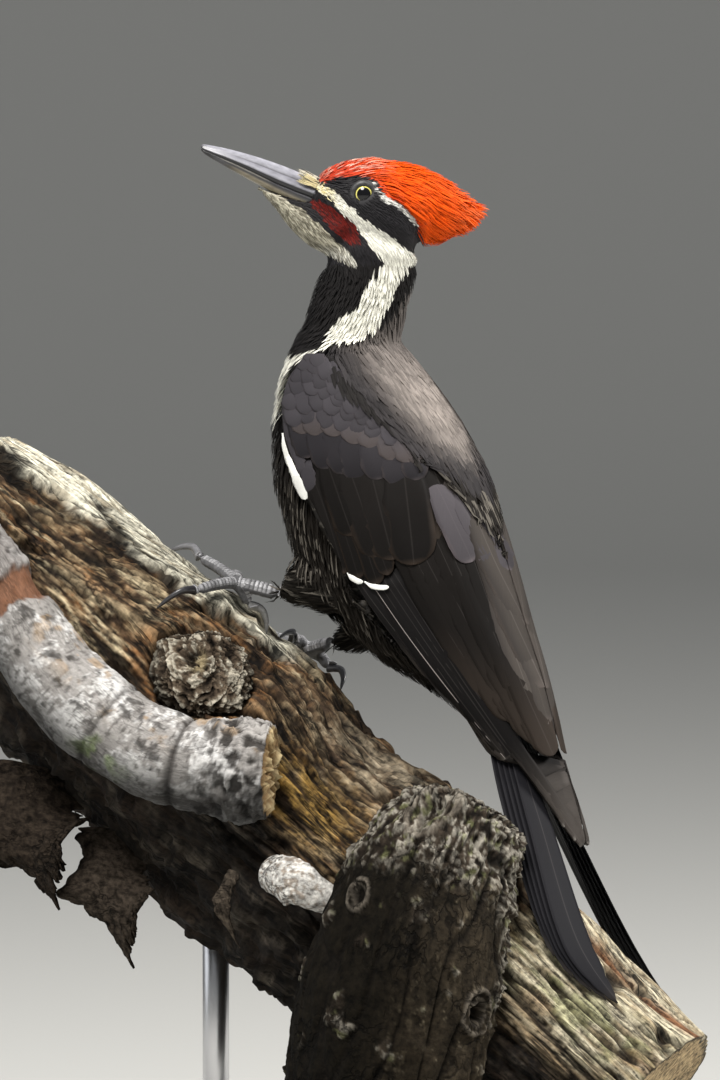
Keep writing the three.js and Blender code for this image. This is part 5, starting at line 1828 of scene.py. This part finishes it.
def birchField(along, turn, total):
    broad, patch, fine = (rounded(along, turn, size, seed) for size, seed in ((26, 81), (9, 83), (2.6, 85)))
    bands = rounded(along, turn, 5.5, 87, lengthwise=2.2)
    folds = rounded(along, turn, 9, 89, lengthwise=1.3, kind=ridged)
    knobs = smoothStep(total - 40, total - 18, along + 3 * patch)
    rough = smoothStep(56, 48, along + 3 * patch)  # the grey uphill end, past a peeled band
    peeled = smoothStep(49, 52, along + 3 * patch) * (1 - smoothStep(64, 67, along + 3 * patch))
    ringDent = bump(along, total - 40, 1.6) + 0.7 * bump(along + 2 * broad, total - 78, 1.2)
    ridges = np.sin(turn * 6 + 4.5 * broad + 2.2 * patch + along * 0.05) * 0.5 + 0.5
    height = 1.3 * broad + 0.5 * patch + 0.2 * fine - 1.3 * ringDent
    height += knobs * (1.6 * ridges + 5.0 * (folds - 0.55) + 1.5 * bump(along, total - 10, 9))
    height += rough * (1.6 * np.abs(patch) + 1.6 * (folds - 0.5)) - 2.4 * peeled
    tanned = smoothStep(0.3, 0.5, rounded(along, turn, 15, 91) + 0.2 * fine)
    tanned = tanned * smoothStep(0.2, 0.9, np.cos(turn))
    moss = bump(along, total - 70, 10) * bump(np.cos(turn), -0.3, 0.35) * smoothStep(-0.1, 0.4, patch)
    return height, painted(
        toned((0.30, 0.285, 0.27), len(along)),
        ((0.62, 0.61, 0.595), smoothStep(0.05, 0.5, broad + 0.5 * fine + 0.25 * patch + 0.15)),
        ((0.105, 0.095, 0.088), smoothStep(0.2, 0.6, bands + 0.3 * fine) * 0.75),
        ((0.025, 0.021, 0.018), smoothStep(0.38, 0.65, patch - 0.3 * broad + 0.2 * fine) * 0.8),
        ((0.36, 0.26, 0.165), tanned * 0.7),
        ((0.028, 0.024, 0.021), knobs * smoothStep(0.76, 0.56, folds + 0.1 * ridges) * 0.92),
        ((0.20, 0.185, 0.175), rough * 0.75),
        ((0.035, 0.03, 0.027), rough * smoothStep(0.6, 0.35, folds) * 0.9),
        ((0.17, 0.075, 0.038), peeled * 0.95),
        ((0.02, 0.016, 0.014), np.clip(ringDent, 0, 1) * 0.8),
        # painted shade: darker toward the limb's underside
        ((0, 0, 0), 0.84 * smoothStep(0.75, -0.5, np.cos(turn + 0.25))),
        ((0.11, 0.15, 0.05), moss * 0.8),
    )


# healed scars on the stub: (along, turn), size, depth and how strong their rings are
scars = [((24, -1.50), 8.5, 2.6, 0.5), ((88, -0.22), 7.0, 6.5, 0.3), ((60, -1.9), 4.5, 1.0, 0.2)]


def stubField(along, turn, total):
    def noiseOf(size, seed, **kind):
        return rounded(along, turn, size, seed, radius=42, **kind)

    kinds = ((34, 101), (12, 103), (3.4, 105), (1.6, 106))
    broad, patch, fine, tiny = (noiseOf(size, seed) for size, seed in kinds)
    plates = terraced(noiseOf(9, 107) * 2.2, 0.25)
    folds = noiseOf(6.5, 113, kind=ridged)
    cracks = smoothStep(0.86, 0.99, noiseOf(18, 111, lengthwise=0.35, octaves=1, kind=ridged))
    # rough bark over the head and down its right side, smoother and darker below
    rough = smoothStep(52, 36, along + 9 * patch + 5 * fine)
    rough = np.maximum(rough, smoothStep(0.0, 0.3, turn + 0.2 * patch) * smoothStep(96, 80, along + 8 * patch))
    rough = np.maximum(rough, smoothStep(0.50, 0.66, patch + 0.2 * broad) * 0.45)
    height = 2.0 * broad + 0.35 * fine - 1.6 * cracks
    height += rough * (2.4 * np.abs(patch) + 1.1 * plates + 2.6 * (folds - 0.5) + 0.7 * np.abs(fine))
    lit = smoothStep(-1.5, -0.5, turn)
    speck = smoothStep(0.5, 0.7, tiny) * (1 - rough) * lit * smoothStep(0.0, 0.4, patch)
    # painted light and shade: near-black on the shaded left side, lighter where the right side is lit
    colour = painted(
        toned((0.0052, 0.0041, 0.0026), len(along)),
        ((0.024, 0.0185, 0.0120), lit * (0.55 + 0.45 * smoothStep(-0.2, 0.4, broad))),
        ((0.055, 0.044, 0.029), lit * smoothStep(0.25, 0.6, patch + 0.3 * fine) * 0.6),
        ((0.034, 0.026, 0.019), rough * 0.85),
        # pale grey flakes on the fold crests, partly painted highlight, and painted shade in the crevices
        ((0.27, 0.25, 0.21), rough * smoothStep(0.66, 0.86, folds + 0.35 * fine + 0.15 * tiny) * 0.85),
        ((0.0065, 0.005, 0.004), rough * smoothStep(0.60, 0.40, folds + 0.12 * fine) * 0.95),
        ((0.16, 0.17, 0.075), rough * smoothStep(0.35, 0.6, noiseOf(5, 109)) * 0.45),
        ((0.13, 0.11, 0.075), speck * 0.6),
        ((0.005, 0.004, 0.003), cracks * 0.8),
    )
    for (a, b), size, deep, rims in scars:
        reach = np.hypot(along - a, np.angle(np.exp(1j * (turn - b))) * 42) / size * (1 + 0.16 * patch)
        rings = np.sin(reach * 11)
        height += 2.6 * bump(reach, 1.15, 0.42) - deep * smoothStep(0.8, 0.35, reach)
        height += rims * rings * smoothStep(2.6, 1.0, reach) * smoothStep(0.4, 0.8, reach)
        colour = painted(
            colour,
            ((0.15, 0.13, 0.105), bump(reach, 1.1, 0.35) * smoothStep(-0.4, 0.3, fine + rings) * 0.7),
            # painted shade in each scar's hollow, darkest in the deep ones
            ((0.003, 0.0025, 0.002), smoothStep(0.72, 0.4, reach) * (0.4 + 0.6 * (deep > 3))),
        )
    return height, colour


def buildKnot(material):  # tangled curling folds, with an eye-shaped hollow up and to one side
    middle = onLog(logShape["knotAlong"], logShape["knotTurn"], 1.0) / mm
    out = unit(offAt(logShape["knotTurn"]))
    bm = bmesh.new()
    bmesh.ops.create_icosphere(bm, subdivisions=7, radius=1)
    rows = np.array([v.co for v in bm.verts])
    faceward = unit(out - np.array(toRight) * 0.9)
    side = unit(np.cross((0, 0, 1.0), faceward))
    gapX, gapY = rows @ side + 0.10, rows @ np.cross(faceward, side) - 0.36
    front = smoothStep(-0.1, 0.5, rows @ faceward)
    leanX, leanY = gapX * 0.94 - gapY * 0.34, gapX * 0.34 + gapY * 0.94
    reach = np.hypot(leanX / 0.27, leanY / 0.40) * (1 + 0.22 * ripple(rows * 3, 119))
    warp = np.stack([ripple(rows * 2.1, seed) for seed in (131, 133, 135)], 1)
    folds = ridged(rows * 2.1 + warp * 0.75, 3, 121)
    curls = ridged(np.stack([reach * 1.7, np.arctan2(gapY, gapX) * 0.8, reach * 0], 1) + warp * 0.5, 2, 127)
    mixed = folds * 0.6 + curls * 0.4
    wrinkle = ripple(rows * 9, 123) + 0.7 * ripple(rows * 19, 125)
    hollow = smoothStep(1.0, 0.55, reach) * front
    size = 20.5 + 9.0 * (mixed - 0.60) * (0.35 + 0.65 * front) + 0.75 * wrinkle - 6.0 * hollow
    size = size * (1.04 + 0.2 * ripple(rows * 1.5, 137)) + 1.8 * bump(reach, 1.2, 0.22) * front
    stretched = rows * size[:, None]
    proud = stretched @ out
    stretched = stretched - out * (proud * np.where(proud > 0, 0.52, 0.1))[:, None]
    for vert, at in zip(bm.verts, (middle + stretched) * mm):
        vert.co = at
    relief = mixed + 0.14 * wrinkle
    colour = painted(
        toned((0.045, 0.033, 0.023), len(rows)),
        ((0.115, 0.088, 0.062), smoothStep(0.56, 0.70, relief) * 0.8),
        # painted highlights on the fold crests and painted shade in the crevices
        ((0.42, 0.385, 0.31), smoothStep(0.73, 0.84, relief) * 0.85),
        ((0.006, 0.0045, 0.0035), smoothStep(0.58, 0.42, relief) * 0.97),
        ((0.24, 0.195, 0.115), hollow * smoothStep(-0.4, 0.2, leanX * 3 + 0.5 * wrinkle) * 0.9),
        ((0.012, 0.009, 0.006), hollow * smoothStep(0.1, -0.3, leanX * 3 + 0.4 * wrinkle) * 0.9),
        # painted shadow where the knot meets the log
        ((0, 0, 0), 0.75 * (1 - smoothStep(0.05, 0.75, rows @ out + 0.15 * wrinkle))),
    )
    piece = tidied(meshObject("knot_wood", bm))
    dressed(piece, material, "birch_bark", "perch_knot", colour=colour, grain=pointsOf(piece.data))


# loose bark: the stops of its middle line, half its width, which way is across it, and its curl
flakes = {
    "white_curl": {
        "stops": [(-8, -85, 206), (5, -94, 204), (18, -97, 200), (31, -89, 192)], "half": (9, 12.5, 11, 8),
        "across": (0.35, 0.1, 0.93), "curl": 1.0, "rough": 0.12, "torn": 0.1,
        "tone": (0.50, 0.485, 0.455), "dark": (0.16, 0.12, 0.085),
    },
    "hanging_flake": {
        "stops": [(-22, -84, 205), (-24, -90, 196), (-23, -92, 186), (-20, -89, 178)], "half": (4, 5, 4.5, 1.5),
        "across": (0.95, 0.2, 0.1), "curl": 1.3, "rough": 0.5, "torn": 0.3,
        "tone": (0.05, 0.04, 0.03), "dark": (0.012, 0.009, 0.007),
    },
    "left_flake": {
        "stops": [(-132, -62, 246), (-130, -78, 230), (-123, -86, 211), (-114, -84, 194)],
        "half": (25, 27, 24, 15),
        "across": (0.8, -0.12, -0.6), "curl": 0.5, "rough": 1.1, "torn": 0.4,
        "tone": (0.024, 0.018, 0.013), "dark": (0.007, 0.0052, 0.004),
    },
    "lower_flake": {
        "stops": [(-92, -58, 218), (-90, -74, 202), (-85, -80, 184), (-80, -76, 168)], "half": (18, 20, 17, 9),
        "across": (0.8, -0.12, -0.55), "curl": 0.6, "rough": 1.0, "torn": 0.4,
        "tone": (0.036, 0.028, 0.021), "dark": (0.009, 0.007, 0.005),
    },
}


def buildFlake(name, material):
    spec = flakes[name]
    rows, cols = 70, 60
    t, u = np.linspace(0, 1, rows), np.linspace(-1, 1, cols)
    middle = cubicAt(spec["stops"], t)
    half = curveAt(spec["half"], t)[:, None]
    ahead = unit(np.gradient(middle, axis=0))
    across = np.array(spec["across"])
    side = unit(across - ahead * (ahead @ across)[:, None])
    top = np.cross(side, ahead)
    top = (top * np.where(top[:, 1:2] > 0, -1, 1))[:, None]
    rims = [layered(np.stack([t * 7 + 0.3, t * 0 + 0.4, t * 0 + z], 1), 3, 141)[:, None] for z in (0.2, 9.7)]
    torn = 1 + spec["torn"] * np.where(u < 0, *rims)
    flat = middle[:, None] + side[:, None] * (np.sin(spec["curl"] * u) / spec["curl"] * half * torn)[..., None]
    flat = flat + top * ((np.cos(spec["curl"] * u) - 1) / spec["curl"] * half)[..., None]
    frayed = layered(np.stack([u * 4 + 0.3, u * 0 + 0.45, u * 0 + 0.6], 1), 4, 143) * spec["torn"] * 26
    flat = (flat + ahead[-1] * frayed[:, None] * smoothStep(0.3, 1, t)[:, None, None]).reshape(-1, 3)
    rough = layered(flat / 6, 3, 145).reshape(rows, cols, 1)
    outer = flat.reshape(rows, cols, 3) + top * spec["rough"] * rough
    points = np.concatenate([outer, outer - top * 1.1]).reshape(-1, 3) * mm
    blotched = smoothStep(0.0, 0.5, layered(flat / 2.5, 2, 147)) * 0.75
    tone = painted(toned(spec["tone"], rows * cols), (spec["dark"], blotched))
    colour = np.concatenate([tone, toned(spec["dark"], rows * cols)])
    piece = tidied(meshFromRows(name, points, sheetFaces(rows, cols)))
    dressed(piece, material, "birch_bark", colour=colour, grain=points)


def buildBranches():
    birch = woodMaterial("birchBark", stretch=0.35, fibre=0.3, checks=0.35, depth=0.7, roughness=0.7)
    dark = woodMaterial("darkBark", stretch=0.5, fibre=0.8, checks=0.7, depth=1.0, gloss=0.06)
    buildBranch("limb_bark", birchField, birch)
    buildBranch("stub_bark", stubField, dark)
    buildKnot(dark)
    for name in flakes:
        buildFlake(name, dark)


# display stand


def buildStand():
    base = meshObject("base_plate", mergedCopy(["stand_base"]))
    edge = {"width": 0.0012, "segments": 2, "limit_method": "ANGLE", "angle_limit": math.radians(30)}
    pinned(base, ("BEVEL", edge))
    black = plainMaterial("satinBlack", (0.012, 0.012, 0.013), 0.32, Coat_Weight=0.2)
    dressed(base, black, "stand_base", "stand_base", smooth=False)
    steel = plainMaterial("brushedSteel", (0.55, 0.55, 0.56), 0.3, Metallic=1.0)
    collar = {"low": 10.5 * mm, "high": 9 * mm, "height": 3.5 * mm}  # round the foot of each rod
    for rod in ("front", "rear"):
        low, high = map(Vector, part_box(f"stand_rod_{rod}"))
        size, middle = high - low, (low + high) / 2
        under = Vector((middle.x, middle.y, low.z + collar["height"] / 2))
        rodRow = (size.x / 2, size.x / 2, size.z, middle)
        collarRow = (collar["low"], collar["high"], collar["height"], under)
        bm = bmesh.new()
        for lower, upper, depth, at in (rodRow, collarRow):
            cone = {"segments": 48, "radius1": lower, "radius2": upper, "depth": depth, "cap_ends": True}
            bmesh.ops.create_cone(bm, matrix=Matrix.Translation(at), **cone)
        for face in bm.faces:
            face.smooth = len(face.verts) == 4
        dressed(meshObject(f"rod_{rod}_steel", bm), steel, "stand_rods", f"stand_rod_{rod}")


# everything in its order

setCamera()
studioFloor()
studioLight()
form = softened(fleshNodes + quillNodes, "form")
skin, coatDepth = buildSkin()
skinTree, formTree = treeOf(skin.data), treeOf(form.data)
bpy.data.objects.remove(form)
buildCoats(skin, coatDepth, skinTree)
buildWings(formTree)
buildTail()
horn = hornMaterial("hornFinish", 0.36, 500, 0.22, 0.00012, coat=0.12)
billHalf("bill_upper", upperSection, horn)
billHalf("bill_lower", lowerSection, horn)
nasalTufts(coats["face_coat"]["finish"])
buildEyes()
buildScutes(skinTree)
buildClaws()
buildLog()
buildBranches()
buildStand()
